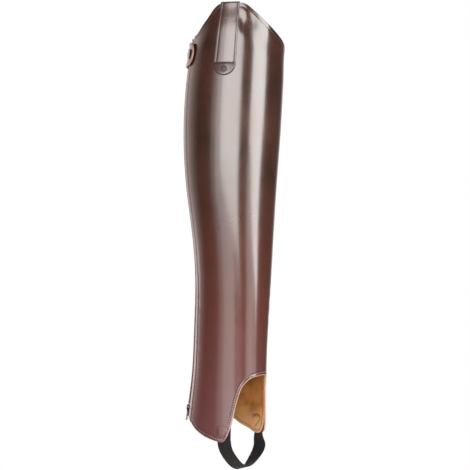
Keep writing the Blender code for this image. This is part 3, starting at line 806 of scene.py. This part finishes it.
zipSliderShape = {
    "height": -311.5, "size": (7.6, 11.0, 1.5), "lift": -1.2, "shoulder": -1.0, "tail": 3.5, "core": 2.28,
    "neck": 2.8, "tailShare": 0.62, "notch": 0.9, "lowerDown": 3.3, "lowerShare": (0.95, 0.95, 0.6),
    "lowerLevel": -3.9, "flange": 1.1, "field": (0.55, 0.16), "rounding": 0.16,
    "bridge": (2.2, 5.8, 2.6), "bridgeSunk": 0.5, "bar": 0.9, "bend": 0.8, "axisDown": 1.2, "axisLift": 1.0,
}
sliderPlace = spotMatrix(zipTurn, zipSliderShape["height"])


def zipSliderPiece():
    made = zipSliderShape
    wide, long, thick = made["size"]
    startCube(made["size"], (0, 0, made["lift"] + thick / 2))
    for axis, level in ((1, made["shoulder"]), (1, made["tail"]), (0, -made["core"]), (0, made["core"])):
        cutAcross(axis, level)
    pick("VERT", lambda at, facing: at.y < -long / 2 + 0.1)
    grow(2 * made["neck"] / wide, 1, 1)
    pick("VERT", lambda at, facing: at.y > long / 2 - 0.1)
    grow(made["tailShare"], 1, 1)
    pick("VERT", lambda at, facing: at.y > long / 2 - 0.1 and abs(at.x) < 2)
    move(0, -made["notch"], 0)
    # the lower plate under the teeth
    bpy.ops.mesh.select_all(action="SELECT")
    bpy.ops.mesh.duplicate_move(TRANSFORM_OT_translate={"value": (0, 0, -made["lowerDown"])})
    grow(*made["lowerShare"], made["lowerLevel"])
    # flanges at both sides reach down beside the teeth
    pick("FACE", lambda at, facing: facing.z < -0.9 and abs(at.x) > 2.3 and -2 < at.z < 0)
    bpy.ops.mesh.extrude_region_move(TRANSFORM_OT_translate={"value": (0, 0, -made["flange"])})
    # a raised field on the upper plate
    insetFaces(lambda at, facing: facing.z > 0.9 and at.z > 0, *made["field"])
    # the bridge that carries the pull
    across, along, top = made["bridge"]
    foot = made["lift"] + thick - made["bridgeSunk"]
    bpy.ops.mesh.select_all(action="DESELECT")
    bpy.ops.mesh.primitive_cube_add(size=1, location=(0, 0, 0))
    grow(across, along, top - foot)
    move(0, 0, (top + foot) / 2)
    openThrough(lambda at, facing: abs(facing.x) > 0.9 and abs(abs(at.x) - across / 2) < 0.01 and at.z > 0.9,
                made["bar"])
    roundEdges(lambda at, facing: abs(facing.x) > 0.9 and at.z > top - 0.05 and abs(at.y) > along / 2 - 0.1,
               made["bend"], 4)
    return finishPiece("zipSlider", sliderPlace, made["rounding"])


zipSlider = zipSliderPiece()


zipPullShape = {
    "length": 14.0, "half": 2.4, "wall": 0.9, "eye": (0.9, 4.4), "eyeRim": 0.75, "shoulder": 5.6,
    "shoulderShare": 0.72, "swell": 3.6, "tipShare": 0.94, "tipRound": 1.7, "topRound": 1.0,
    "field": (0.5, -0.16), "rounding": 0.12,
}


def zipPullPiece():
    made = zipPullShape
    start, length = -made["wall"] / 2, made["length"]
    startCube((2 * made["half"], length - start, made["wall"]), (0, (length + start) / 2, 0))
    for level in (made["eye"][0] - made["wall"] / 2, made["eye"][1], made["shoulder"], length - made["swell"]):
        cutAcross(1, level)
    for level, share in ((made["shoulder"], made["shoulderShare"]), (length, made["tipShare"])):
        pick("VERT", lambda at, facing: abs(at.y - level) < 0.1)
        grow(share, 1, 1)
    openThrough(lambda at, facing: abs(facing.z) > 0.9 and made["eye"][0] - 0.5 < at.y < made["eye"][1],
                made["eyeRim"])
    for level, offset, segments in ((length, made["tipRound"], 6), (start, made["topRound"], 4)):
        roundEdges(lambda at, facing: abs(facing.z) > 0.9 and abs(at.y - level) < 0.1, offset, segments)
    insetFaces(lambda at, facing: abs(facing.z) > 0.9 and at.y > made["shoulder"], *made["field"])
    place = sliderPlace @ Matrix.Translation((0, zipSliderShape["axisDown"], zipSliderShape["axisLift"]))
    return finishPiece("zipPull", place, made["rounding"])


zipPull = zipPullPiece()


# Teeth: one is drawn and copied down both sides of the zip

zipTooth = {
    "pitch": 2.1, "size": (2.9, 1.15, 2.2), "head": 0.55, "neck": -0.75, "headShare": (1, 1.25, 0.86),
    "neckShare": 0.72, "rounding": 0.2, "foot": -320.0, "top": 96.0, "depth": 1.5, "sliderGap": 0.4,
}


def toothMould():
    made = zipTooth
    startCube(made["size"], (made["head"] - made["size"][0] / 2, 0, 0))
    cutAcross(0, made["neck"])
    pick("VERT", lambda at, facing: at.x > 0)
    grow(*made["headShare"])
    pick("VERT", lambda at, facing: abs(at.x - made["neck"]) < 0.1)
    grow(1, made["neckShare"], 1)
    return finishPiece("toothMould", Matrix.Identity(4), made["rounding"], 1)


def repeated(name, mould, places):  # one mesh of many copies of a mould, each set by its own matrix
    corners = np.array([tuple(v.co) for v in mould.data.vertices])
    faces = [list(face.vertices) for face in mould.data.polygons]
    vertices = np.einsum("nij,vj->nvi", places[:, :3, :3], corners) + places[:, None, :3, 3]
    faces = [[corner + len(corners) * k for corner in face] for k in range(len(places)) for face in faces]
    item = meshPiece(name, vertices.reshape(-1, 3), faces)
    bpy.data.objects.remove(mould)
    bpy.context.view_layer.objects.active = item
    bpy.ops.object.select_all(action="DESELECT")
    item.select_set(True)
    bpy.ops.object.shade_smooth_by_angle(angle=math.radians(50))
    print(name, len(item.data.polygons))
    return item


def framesOf(points, xAxes, zAxes):
    z = unit(zAxes - xAxes * np.sum(zAxes * xAxes, -1, keepdims=True))
    places = np.zeros((len(points), 4, 4))
    places[:, :3, 0], places[:, :3, 1], places[:, :3, 2] = xAxes, np.cross(z, xAxes), z
    places[:, :3, 3] = points
    places[:, 3, 3] = 1
    return places


def teethPiece(name, side):
    made = zipTooth
    heights = np.arange(made["foot"], made["top"], made["pitch"]) + (made["pitch"] / 2 if side < 0 else 0)
    clear = zipSliderShape["size"][1] / 2 + made["sliderGap"]
    heights = heights[np.abs(heights - zipSliderShape["height"] + 0.5) > clear]
    points, normals = onFace(zipTurn, heights, -made["depth"] - made["size"][2] / 2)
    # the shin side of the zip is where the turn falls
    return repeated(name, toothMould(), framesOf(points, faceFrame(zipTurn, heights)[2] * side, normals))


zipTeethOuter = teethPiece("zipTeethOuter", 1)
zipTeethInner = teethPiece("zipTeethInner", -1)

zipBoxShape = {
    "size": (7.4, 7.0, 3.0), "level": -2.6, "height": 100.4, "field": (0.9, -0.35), "corner": 1.1,
    "rounding": 0.22,
}


def zipBoxPiece():  # the box that takes the pin at the top, under the tab
    made = zipBoxShape
    startCube(made["size"], (0, 0, made["level"]))
    insetFaces(lambda at, facing: facing.z > 0.9, *made["field"])
    roundEdges(lambda at, facing: abs(facing.z) > 0.9, made["corner"], 4)
    return finishPiece("zipBox", spotMatrix(zipTurn, made["height"]), made["rounding"])


zipBox = zipBoxPiece()

zipStopShape = {
    "size": (2.3, 3.2, 2.9), "aside": 2.35, "level": -2.6, "height": -319.4, "field": (0.5, 0.15),
    "rounding": 0.3,
}


def zipStopPiece(name, side):  # a clamp round the end of the tape
    made = zipStopShape
    startCube(made["size"], (made["aside"] * side, 0, made["level"]))
    insetFaces(lambda at, facing: facing.z > 0.9, *made["field"])
    return finishPiece(name, spotMatrix(zipTurn, made["height"]), made["rounding"])


zipStopOuter = zipStopPiece("zipStopOuter", 1)
zipStopInner = zipStopPiece("zipStopInner", -1)

snapTurn = float(turnBeside(zipTurn, snapTabShape["height"], snapTabShape["snapAlong"]))
snapPlace = spotMatrix(snapTurn, snapTabShape["height"])
snapCap = turnedPiece("snapCap", snapPlace, [
    (4.8, 3.42), (5.6, 3.40), (6.05, 3.46), (6.22, 3.64), (6.22, 3.86), (6.02, 4.08), (5.55, 4.26), (4.7, 4.43),
    (3.6, 4.56), (2.4, 4.65), (1.2, 4.69), (0.25, 4.70)])
snapBase = turnedPiece("snapBase", snapPlace, [
    (4.2, 0.30), (4.45, 0.38), (4.5, 0.60), (4.3, 0.78), (3.4, 0.86), (3.2, 1.12), (2.7, 1.20), (2.0, 1.18),
    (1.7, 0.90), (0.6, 0.88)])
studPlace = spotMatrix(pullStrap["turn"], pullStrap["studHeight"], pullStrap["studLift"])
strapRivet = turnedPiece("strapRivet", studPlace, [
    (3.2, 1.90), (3.6, 1.94), (3.7, 2.15), (3.66, 2.40), (3.45, 2.55), (3.15, 2.52), (2.95, 2.15), (2.7, 2.12),
    (2.5, 2.55), (2.1, 2.90), (1.5, 3.18), (0.8, 3.34), (0.15, 3.38)], 40)


# Stitches: one is drawn and copied along every seam

threadShape = {"pitch": 3.0, "length": 2.35, "thickness": 0.62, "flatness": 0.9, "lift": 0.04}


def stitchMould():
    made = threadShape
    bpy.ops.object.select_all(action="DESELECT")
    bpy.ops.mesh.primitive_uv_sphere_add(segments=8, ring_count=7, radius=0.5, location=(0, 0, 0),
                                         rotation=(0, math.pi / 2, 0))
    bpy.ops.object.transform_apply(location=False, rotation=True, scale=False)
    startEdit()
    grow(made["length"], made["thickness"], made["thickness"] * made["flatness"])
    for share, drop in ((0.3, 0.14), (0.44, 0.2)):  # both ends bend down into the leather
        pick("VERT", lambda at, facing: abs(at.x) > made["length"] * share)
        move(0, 0, -drop)
    return finishPiece("stitchMould", Matrix.Identity(4), 0)


def stitchPiece(name, rows, pitch=threadShape["pitch"], stout=1.0):
    # rows of (points, normals) on the cloth's face, each a seam's line
    places = []
    for points, normals in rows:
        line, up = evenly(points, pitch / 2, normals)
        along = unit(np.gradient(line, axis=0))[::2]
        line, up = line[::2], unit(up[::2])
        places.append(framesOf(line + up * threadShape["lift"], along, up))
    places = np.concatenate(places)
    places[:, :3, 1:3] *= stout
    return repeated(name, stitchMould(), places)


def seamAround(name, inset):  # a seam round the hem or the top edge, on the leather and on the lining
    lines = []
    for made, lift, sink, side in ((legLeather, leatherLift, legLeather["seamDepth"] * 0.3, 1),
                                   (legLining, liningLift, legForm["liningWall"] - 0.08, -1)):
        points, normals = edgeLine(name, inset, made["zipDistance"] + made["threadFromZip"], lift)
        lines.append((points - normals * sink, normals * side))
    return lines


def zipSeam(side):
    heights = np.linspace(zipTape["foot"] + 1.5, zipTape["top"] - 1.5, 700)
    turn = turnBeside(zipTurn, heights, (legLeather["zipDistance"] + legLeather["zipSeam"]) * side)
    return onFace(turn, heights, legLeather["foldPuff"] - legLeather["seamDepth"] * 0.8)


def alongPiece(place, first, second, lift):  # a seam's line on the tab or the strap
    points = place(first, second, lift)
    return points, unit(place(first, second, lift + 0.5) - points)


def tabSeam():
    made = snapTabShape
    inner, square = made["half"] - made["seam"], made["end"] - made["half"]
    straight = np.linspace(made["seamStart"], square, 60)
    angles = np.radians(np.linspace(-90, 90, 60))[1:-1]
    along = np.concatenate([straight, square + inner * np.cos(angles), straight[::-1]])
    across = np.concatenate([np.full(60, -inner), inner * np.sin(angles), np.full(60, inner)])
    return alongPiece(tabPoint, along, across, made["wall"] / 2 - made["threadSink"])


def strapSeams():  # one along each edge and one across
    made = pullStrap
    along = np.linspace(strapSeamAt + 1.0, strapUp - 2.0, 80)
    half = strapHalf(along) - made["groove"]
    across = np.linspace(-made["crossReach"], made["crossReach"], 30)
    lift, crossLift = made["wall"] / 2 - made["threadSink"], made["wall"] / 2 - made["crossSink"]
    return [alongPiece(strapPoint, along, half, lift), alongPiece(strapPoint, along, -half, lift),
            alongPiece(strapPoint, strapSeamAt + 0 * across, across, crossLift)]


tipBox = {"half": 5.6, "low": 8.0, "high": 17.5, "bow": 1.2, "lift": 0.12}


def tipSeams():  # the sewn box that holds each end of the elastic
    made = tipBox
    side, rise = np.full(20, made["half"]), np.linspace(made["low"], made["high"], 20)
    across = np.concatenate([-side, np.linspace(-made["half"], made["half"], 30), side])
    bow = made["bow"] * np.cos(np.linspace(-1.57, 1.57, 30))
    up = np.concatenate([rise, made["high"] + bow, rise[::-1]])
    return [onFace(tipTurn + across / girthPerDegree(tipTurn, edge), edge + up, made["lift"])
            for tipTurn, edge in legForm["tips"]]


hemStitches = stitchPiece("hemStitches", seamAround("hem", legLeather["hemSeam"]), 2.85, 1.35)
topStitches = stitchPiece("topStitches", seamAround("top", legLeather["topSeam"]))
zipStitches = stitchPiece("zipStitches", [zipSeam(1), zipSeam(-1)])
tabStitches = stitchPiece("tabStitches", [tabSeam()], 2.6)
strapStitches = stitchPiece("strapStitches", strapSeams(), 2.4)
tipStitches = stitchPiece("tipStitches", tipSeams(), 2.4)


# Materials

def fromHex(code):  # an sRGB colour as linear light
    parts = [int(code[i:i + 2], 16) / 255 for i in (1, 3, 5)]
    return [part / 12.92 if part <= 0.04045 else ((part + 0.055) / 1.055) ** 2.4 for part in parts] + [1.0]


def addNode(tree, kind, sockets, give=0, **settings):  # gives back one output of the new node
    made = tree.nodes.new("ShaderNode" + kind)
    for label, value in settings.items():
        setattr(made, label, value)
    for label, value in sockets.items():
        if isinstance(value, bpy.types.NodeSocket):
            tree.links.new(value, made.inputs[label])
        else:
            made.inputs[label].default_value = fromHex(value) if isinstance(value, str) else value
    return made.outputs[give] if made.outputs else None


def startMaterial(name):  # with the coordinates of the piece itself
    made = bpy.data.materials.new(name)
    made.use_nodes = True
    made.node_tree.nodes.clear()
    return made, made.node_tree, addNode(made.node_tree, "TexCoord", {}, "Object")


tint = {"give": 2, "data_type": "RGBA"}  # what a mix of two colours needs

# the low and hem colours lighten the leather towards the hem as painted light
boxCalf = {
    "dark": "#2f1c12", "mid": "#40231a", "low": "#522a22", "hem": "#5c3435", "seam": "#1c0d0c",
    "seamShadeShare": 0.75, "cutDark": "#a07a6c", "cutPale": "#cda898", "paint": "#1a0e0d",
    "paintedLightLowZone": (-0.05, -0.20), "paintedLightHemZone": (-0.20, -0.33), "seamDull": 0.0,
}
# the strap's copy darkens its seam marks more strongly, as painted shade along its grooves, edges and tongue
strapCalf = {**boxCalf, "seamShadeShare": 0.9, "seamDull": 0.4, "mid": "#43251f", "dark": "#331d17"}
# the tab's copy is lighter all over, painted light for the tab where the pale wall lights the leg's edge
tabCalfPaintedLight = {**boxCalf, "dark": "#45302a", "mid": "#573d35", "cutDark": "#8d7160", "cutPale": "#b59a86"}


def boxCalfLeather(name, dye):
    # Box calf, drum dyed and plated smooth: deep even colour with faint clouds, a soft polish and a close grain
    made, tree, at = startMaterial(name)
    clouds = addNode(tree, "TexNoise", {"Vector": at, "Scale": 1 / 0.038, "Detail": 3.0, "Roughness": 0.55})
    share = addNode(tree, "MapRange", {0: clouds, 1: 0.34, 2: 0.66})
    colour = addNode(tree, "Mix", {0: share, 6: dye["dark"], 7: dye["mid"]}, **tint)
    # towards the hem the colour is lighter and redder, painted light for the brighter lower leg
    height = addNode(tree, "SeparateXYZ", {0: at}, 2)
    for zone, part in (("paintedLightLowZone", "low"), ("paintedLightHemZone", "hem")):
        share = addNode(tree, "MapRange", {0: height, 1: dye[zone][0], 2: dye[zone][1]})
        colour = addNode(tree, "Mix", {0: share, 6: colour, 7: dye[part]}, **tint)
    # seams are darkened, partly as wax and dust and partly as painted shade in their grooves, cut edges show the
    # pale fibres, and the top edge is painted dark, on the strap widened as a painted shadow
    seam, cut, paint = (addNode(tree, "Attribute", {}, "Fac", attribute_name=label)
                        for label in ("seamLine", "cutEdge", "edgePaint"))
    share = addNode(tree, "Math", {0: seam, 1: dye["seamShadeShare"]}, operation="MULTIPLY")
    colour = addNode(tree, "Mix", {0: share, 6: colour, 7: dye["seam"]}, **tint)
    fibres = addNode(tree, "TexNoise", {"Vector": at, "Scale": 1 / 0.0011, "Detail": 2.0})
    share = addNode(tree, "MapRange", {0: fibres, 1: 0.3, 2: 0.7})
    raw = addNode(tree, "Mix", {0: share, 6: dye["cutDark"], 7: dye["cutPale"]}, **tint)
    colour = addNode(tree, "Mix", {0: cut, 6: colour, 7: raw}, **tint)
    colour = addNode(tree, "Mix", {0: paint, 6: colour, 7: dye["paint"]}, **tint)
    polish = addNode(tree, "MapRange", {0: clouds, 1: 0.3, 2: 0.7, 3: 0.20, 4: 0.27})
    handled = addNode(tree, "Math", {0: seam, 1: dye["seamDull"], 2: cut}, operation="MULTIPLY_ADD")
    rough = addNode(tree, "Math", {0: handled, 1: 0.45, 2: polish}, operation="MULTIPLY_ADD")
    # soft waves of the hide, and close wrinkles that run round the leg
    waves = addNode(tree, "TexNoise", {"Vector": at, "Scale": 1 / 0.014, "Detail": 1.0})
    stretched = addNode(tree, "Mapping", {"Vector": at, "Scale": (1 / 0.011, 1 / 0.011, 1 / 0.0022)})
    wrinkles = addNode(tree, "TexNoise", {"Vector": stretched, "Scale": 1.0, "Detail": 1.0})
    soft = addNode(tree, "Bump", {"Strength": 0.3, "Distance": 0.0002, "Height": waves})
    close = addNode(tree, "Bump", {"Strength": 0.12, "Distance": 0.00006, "Height": wrinkles, "Normal": soft})
    shader = addNode(tree, "BsdfPrincipled", {
        "Base Color": colour, "Roughness": rough, "Normal": close, "Specular IOR Level": 0.7, "IOR": 1.5,
        "Coat Weight": 0.5, "Coat Roughness": 0.13, "Coat IOR": 1.5})
    addNode(tree, "OutputMaterial", {"Surface": shader})
    return made


def vegTanLining():
    # Vegetable-tanned lining calf, left matt: warm tan with a dry, pored grain that darkens in clouds
    made, tree, at = startMaterial("vegTanLining")
    clouds = addNode(tree, "TexNoise", {"Vector": at, "Scale": 1 / 0.016, "Detail": 5.0, "Roughness": 0.62})
    share = addNode(tree, "MapRange", {0: clouds, 1: 0.32, 2: 0.68})
    colour = addNode(tree, "Mix", {0: share, 6: "#9a5f2c", 7: "#c48a4c"}, **tint)
    pores = addNode(tree, "TexVoronoi", {"Vector": at, "Scale": 1 / 0.0016})
    share = addNode(tree, "MapRange", {0: pores, 1: 0.0, 2: 0.35, 3: 0.3, 4: 0.0})
    colour = addNode(tree, "Mix", {0: share, 6: colour, 7: "#7c481d"}, **tint)
    # the lining is painted paler towards the tips as painted light, and darker along its seams, with painted
    # shadow under the fold and painted shade in the slit over each elastic end
    height = addNode(tree, "SeparateXYZ", {0: at}, 2)
    share = addNode(tree, "MapRange", {0: height, 1: -0.312, 2: -0.338, 4: 0.55})
    colour = addNode(tree, "Mix", {0: share, 6: colour, 7: "#e3bb88"}, **tint)
    seam, cut = (addNode(tree, "Attribute", {}, "Fac", attribute_name=label)
                 for label in ("seamLine", "cutEdge"))
    share = addNode(tree, "Math", {0: seam, 1: 0.75}, operation="MULTIPLY")
    colour = addNode(tree, "Mix", {0: share, 6: colour, 7: "#5c3414"}, **tint)
    colour = addNode(tree, "Mix", {0: cut, 6: colour, 7: "#a07a52"}, **tint)
    rough = addNode(tree, "MapRange", {0: clouds, 1: 0.3, 2: 0.7, 3: 0.5, 4: 0.68})
    grain = addNode(tree, "Bump", {"Strength": 0.3, "Distance": 0.00012, "Height": pores})
    shader = addNode(tree, "BsdfPrincipled", {
        "Base Color": colour, "Roughness": rough, "Normal": grain, "Specular IOR Level": 0.35, "IOR": 1.48})
    addNode(tree, "OutputMaterial", {"Surface": shader})
    return made


def wovenBand(name, dark, light, rib, pick, roughness, sheen):
    # Woven webbing: warp ribs along the band crossed by fine weft picks, matt with a faint bloom on the yarn
    made, tree, at = startMaterial(name)
    flat = addNode(tree, "TexCoord", {}, "UV")
    across, along = (addNode(tree, "SeparateXYZ", {0: flat}, axis) for axis in (0, 1))
    turned = addNode(tree, "Math", {0: across, 1: 2 * math.pi / rib}, operation="MULTIPLY")
    ribs = addNode(tree, "Math", {0: turned}, operation="COSINE")
    passed = addNode(tree, "Math", {0: along, 1: 2 * math.pi / pick}, operation="MULTIPLY")
    sway = addNode(tree, "Math", {0: ribs, 1: 1.2, 2: passed}, operation="MULTIPLY_ADD")
    picks = addNode(tree, "Math", {0: sway}, operation="SINE")
    weave = addNode(tree, "Math", {0: ribs, 1: picks}, operation="ADD")
    lift = addNode(tree, "MapRange", {0: weave, 1: -2.0, 2: 2.0})
    dust = addNode(tree, "TexNoise", {"Vector": at, "Scale": 1 / 0.005, "Detail": 3.0})
    share = addNode(tree, "MapRange", {0: dust, 1: 0.45, 2: 0.75, 4: 0.35})
    yarn = addNode(tree, "Mix", {0: lift, 6: dark, 7: light}, **tint)
    colour = addNode(tree, "Mix", {0: share, 6: yarn, 7: light}, **tint)
    bump = addNode(tree, "Bump", {"Strength": 0.6, "Distance": 0.00016, "Height": lift})
    shader = addNode(tree, "BsdfPrincipled", {
        "Base Color": colour, "Normal": bump, "Roughness": roughness, "Specular IOR Level": 0.3,
        "Sheen Weight": sheen, "Sheen Roughness": 0.45})
    addNode(tree, "OutputMaterial", {"Surface": shader})
    return made


def platedMetal(name, even, worn, roughness, **shine):
    # Pressed or die-cast metal under a thin finish: even colour, rubbed a little brighter in clouds
    made, tree, at = startMaterial(name)
    rubbed = addNode(tree, "TexNoise", {"Vector": at, "Scale": 1 / 0.0021, "Detail": 3.0, "Roughness": 0.6})
    share = addNode(tree, "MapRange", {0: rubbed, 1: 0.42, 2: 0.72})
    colour = addNode(tree, "Mix", {0: share, 6: even, 7: worn}, **tint)
    rough = addNode(tree, "MapRange", {0: rubbed, 1: 0.3, 2: 0.7, 3: roughness[0], 4: roughness[1]})
    peel = addNode(tree, "TexNoise", {"Vector": at, "Scale": 1 / 0.0008, "Detail": 1.0})
    bump = addNode(tree, "Bump", {"Strength": 0.12, "Distance": 0.00002, "Height": peel})
    shine = {label.replace("_", " "): value for label, value in shine.items()}
    shader = addNode(tree, "BsdfPrincipled", {
        "Base Color": colour, "Roughness": rough, "Normal": bump, **shine})
    addNode(tree, "OutputMaterial", {"Surface": shader})
    return made


def mouldedTeeth():
    # Acetal, injection moulded: satin, slightly waxy, with a trace of flow marks
    made, tree, at = startMaterial("mouldedAcetalTeeth")
    flow = addNode(tree, "TexNoise", {"Vector": at, "Scale": 1 / 0.0016, "Detail": 2.0})
    colour = addNode(tree, "Mix", {0: flow, 6: "#241a17", 7: "#3a2a25"}, **tint)
    rough = addNode(tree, "MapRange", {0: flow, 1: 0.3, 2: 0.7, 3: 0.32, 4: 0.44})
    shader = addNode(tree, "BsdfPrincipled", {
        "Base Color": colour, "Roughness": rough, "Specular IOR Level": 0.5, "IOR": 1.48})
    addNode(tree, "OutputMaterial", {"Surface": shader})
    return made


def bondedThread(name, dark, light):
    # Bonded nylon thread, three-ply twisted and waxed: slightly shiny, its plies darker between
    made, tree, at = startMaterial(name)
    twist = addNode(tree, "TexNoise", {"Vector": at, "Scale": 1 / 0.0007, "Detail": 1.0})
    plies = addNode(tree, "MapRange", {0: twist, 1: 0.35, 2: 0.65})
    colour = addNode(tree, "Mix", {0: plies, 6: dark, 7: light}, **tint)
    bump = addNode(tree, "Bump", {"Strength": 0.4, "Distance": 0.00008, "Height": twist})
    shader = addNode(tree, "BsdfPrincipled", {
        "Base Color": colour, "Normal": bump, "Roughness": 0.5, "Specular IOR Level": 0.5,
        "Sheen Weight": 0.15})
    addNode(tree, "OutputMaterial", {"Surface": shader})
    return made


finishes = {
    boxCalfLeather("boxCalfPolishedBurgundy", boxCalf): [leatherPanel],
    boxCalfLeather("boxCalfStrapBurgundy", strapCalf): [sideStrap],
    boxCalfLeather("boxCalfTabBurgundyLit", tabCalfPaintedLight): [snapTab],
    vegTanLining(): [leatherLining],
    wovenBand("wovenPolyesterTape", "#16100e", "#33241f", 0.9, 0.7, 0.85, 0.1): [zipTapeOuter, zipTapeInner],
    wovenBand("wovenElasticBlack", "#080808", "#181716", 1.6, 1.2, 0.8, 0.06): [footElastic],
    platedMetal("blackNickelPlatedZinc", "#3a3735", "#77706a", (0.28, 0.42), Metallic=1.0):
        [zipSlider, zipPull, zipBox, zipStopOuter, zipStopInner],
    platedMetal("blackEnamelledBrass", "#08080a", "#101014", (0.10, 0.16), IOR=1.5,
                Coat_Weight=1.0, Coat_Roughness=0.05): [snapCap, snapBase],
    platedMetal("antiquedBrassRivet", "#4d3c38", "#5e4b47", (0.5, 0.62), Metallic=0.35): [strapRivet],
    mouldedTeeth(): [zipTeethOuter, zipTeethInner],
    bondedThread("bondedNylonThread", "#3f2422", "#7a5450"): [topStitches, zipStitches, tabStitches],
    bondedThread("bondedNylonThreadDark", "#2a1615", "#4d2f2c"): [strapStitches, tipStitches],
    bondedThread("bondedNylonThreadPale", "#6a4a45", "#b89d95"): [hemStitches],
}
for finish, items in finishes.items():
    for item in items:
        item.data.materials.clear()
        item.data.materials.append(finish)
print("materials", len(finishes))


# Camera, light and floor

studio = {
    "azimuth": 33.0, "elevation": 2.0, "distance": 1.8, "focal": 120.94, "target": (0.0028514, 0.0018518, -0.114),
    "floor": -0.75, "dim": 0.12, "wall": 1.25, "wallAzimuth": 240.0, "wallStart": 0.45, "boxDistance": 1.3,
    "boxTint": (1.0, 0.975, 0.955),
}
azimuth, elevation = math.radians(studio["azimuth"]), math.radians(studio["elevation"])
backward = Vector((math.sin(azimuth) * math.cos(elevation), -math.cos(azimuth) * math.cos(elevation),
                   math.sin(elevation)))
cameraData = bpy.data.cameras.new("camera")
cameraData.lens = studio["focal"]
cameraData.sensor_width = 36
camera = bpy.data.objects.new("camera", cameraData)
camera.location = Vector(studio["target"]) + backward * studio["distance"]
camera.rotation_euler = (-backward).to_track_quat("-Z", "Y").to_euler()
bpy.context.scene.collection.objects.link(camera)
bpy.context.scene.camera = camera


def softBox(name, azimuth, low, high, width, strength, slant=10.0):
    # a tall soft box that faces the leg, its lower end slanted a little towards the zip
    data = bpy.data.lights.new(name, "AREA")
    data.shape = "RECTANGLE"
    slant, distance = math.radians(slant), studio["boxDistance"]
    data.size, data.size_y = width * math.cos(slant), (high - low) / math.cos(slant)
    data.energy = strength * width * (high - low) * math.pi
    data.color = studio["boxTint"]
    item = bpy.data.objects.new(name, data)
    turn = math.radians(azimuth)
    item.location = (math.sin(turn) * distance, -math.cos(turn) * distance, (low + high) / 2)
    towards = Vector((-math.sin(turn), math.cos(turn), 0))
    item.rotation_euler = (towards.to_track_quat("-Z", "Y") @ Quaternion((0, 0, 1), -slant)).to_euler()
    item.visible_camera = False
    bpy.context.scene.collection.objects.link(item)


softBox("softBoxCamera", 24.5, -0.31, 0.36, 1.0, 7.5)
softBox("softBoxSide", -2.0, -0.28, 0.36, 0.22, 3.4)
softBox("softBoxSideHigh", -2.0, 0.10, 0.30, 0.22, 3.0)
softBox("softBoxFar", -12.0, -0.28, 0.36, 0.22, 1.1)
softBox("softBoxFront", 88.0, -0.29, 0.36, 0.86, 9.0, 25.0)
softBox("softBoxLow", 12.0, -0.74, -0.32, 0.66, 2.1)
softBox("softBoxLowSide", -8.0, -0.74, -0.32, 0.24, 0.9)
softBox("softBoxLowFar", -100.0, -0.78, -0.28, 0.5, 2.0)
softBox("softBoxLowFront", 72.5, -0.74, -0.30, 0.60, 2.1, 25.0)

world = bpy.data.worlds.new("studioWorld")
bpy.context.scene.world = world
world.use_nodes = True
tree = world.node_tree
tree.nodes.clear()
# the pale wall behind the leg and on the zip's side lights its edges, and the rest of the room is dim
wallTurn = math.radians(studio["wallAzimuth"])
around = addNode(tree, "TexCoord", {}, "Generated")
facing = addNode(tree, "VectorMath", {0: around, 1: (math.sin(wallTurn), -math.cos(wallTurn), 0)}, "Value",
                 operation="DOT_PRODUCT")
wall = addNode(tree, "MapRange", {0: facing, 1: studio["wallStart"], 2: 1.0, 3: studio["dim"], 4: studio["wall"]})
room = addNode(tree, "Background", {"Color": (1, 0.82, 0.79, 1), "Strength": wall})
paper = addNode(tree, "Background", {"Color": (1, 1, 1, 1), "Strength": 1.0})
seen = addNode(tree, "LightPath", {}, "Is Camera Ray")
mixed = addNode(tree, "MixShader", {0: seen, 1: room, 2: paper})
addNode(tree, "OutputWorld", {"Surface": mixed})
bpy.context.scene.view_settings.view_transform = "Standard"

bpy.ops.object.select_all(action="DESELECT")
bpy.ops.mesh.primitive_plane_add(size=2.2, location=(0, 0, studio["floor"]))
floor = bpy.context.object
floor.name = "floor"
# Matt white paint, rolled on: almost even, with the faintest speckle
floorPaint, tree, at = startMaterial("matFloorPaint")
speckle = addNode(tree, "TexNoise", {"Vector": at, "Scale": 60.0})
pale = addNode(tree, "Mix", {0: speckle, 6: "#f2f1ef", 7: "#fbfaf9"}, **tint)
shader = addNode(tree, "BsdfPrincipled", {"Base Color": pale, "Roughness": 0.8, "Specular IOR Level": 0.2})
addNode(tree, "OutputMaterial", {"Surface": shader})
floor.data.materials.append(floorPaint)

# What moves with what

rides = [
    (leatherPanel, "chap", "leg_panel", "burgundy_leather"),
    (leatherLining, "chap", "leg_lining", "tan_leather"),
    (zipTapeOuter, "chap", "zip_tape_outer", "zip_tape"),
    (zipTapeInner, "chap", "zip_tape_inner", "zip_tape"),
    (snapTab, "chap", "snap_tab", "burgundy_leather"),
    (sideStrap, "chap", "side_strap", "burgundy_leather"),
    (footElastic, "chap", "foot_elastic", "elastic"),
    (zipTeethOuter, "chap", "zip_chain", "zip_teeth"),
    (zipTeethInner, "chap", "zip_chain", "zip_teeth"),
    (zipBox, "chap", None, "zip_metal"),
    (zipStopOuter, "chap", None, "zip_metal"),
    (zipStopInner, "chap", None, "zip_metal"),
    (zipSlider, "chap", "zip_slider", "zip_metal"),
    (zipPull, "pull", "zip_pull", "zip_metal"),
    (snapCap, "chap", "snap_cap", "snap_metal"),
    (snapBase, "chap", "snap_base", "snap_metal"),
    (strapRivet, "chap", "strap_stud", "stud_metal"),
    *((seam, "chap", None, "burgundy_leather") for seam in (
        hemStitches, topStitches, zipStitches, tabStitches, strapStitches, tipStitches)),
]
for piece, body, node, finish in rides:
    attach(piece, body)
    if node:
        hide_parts(node)
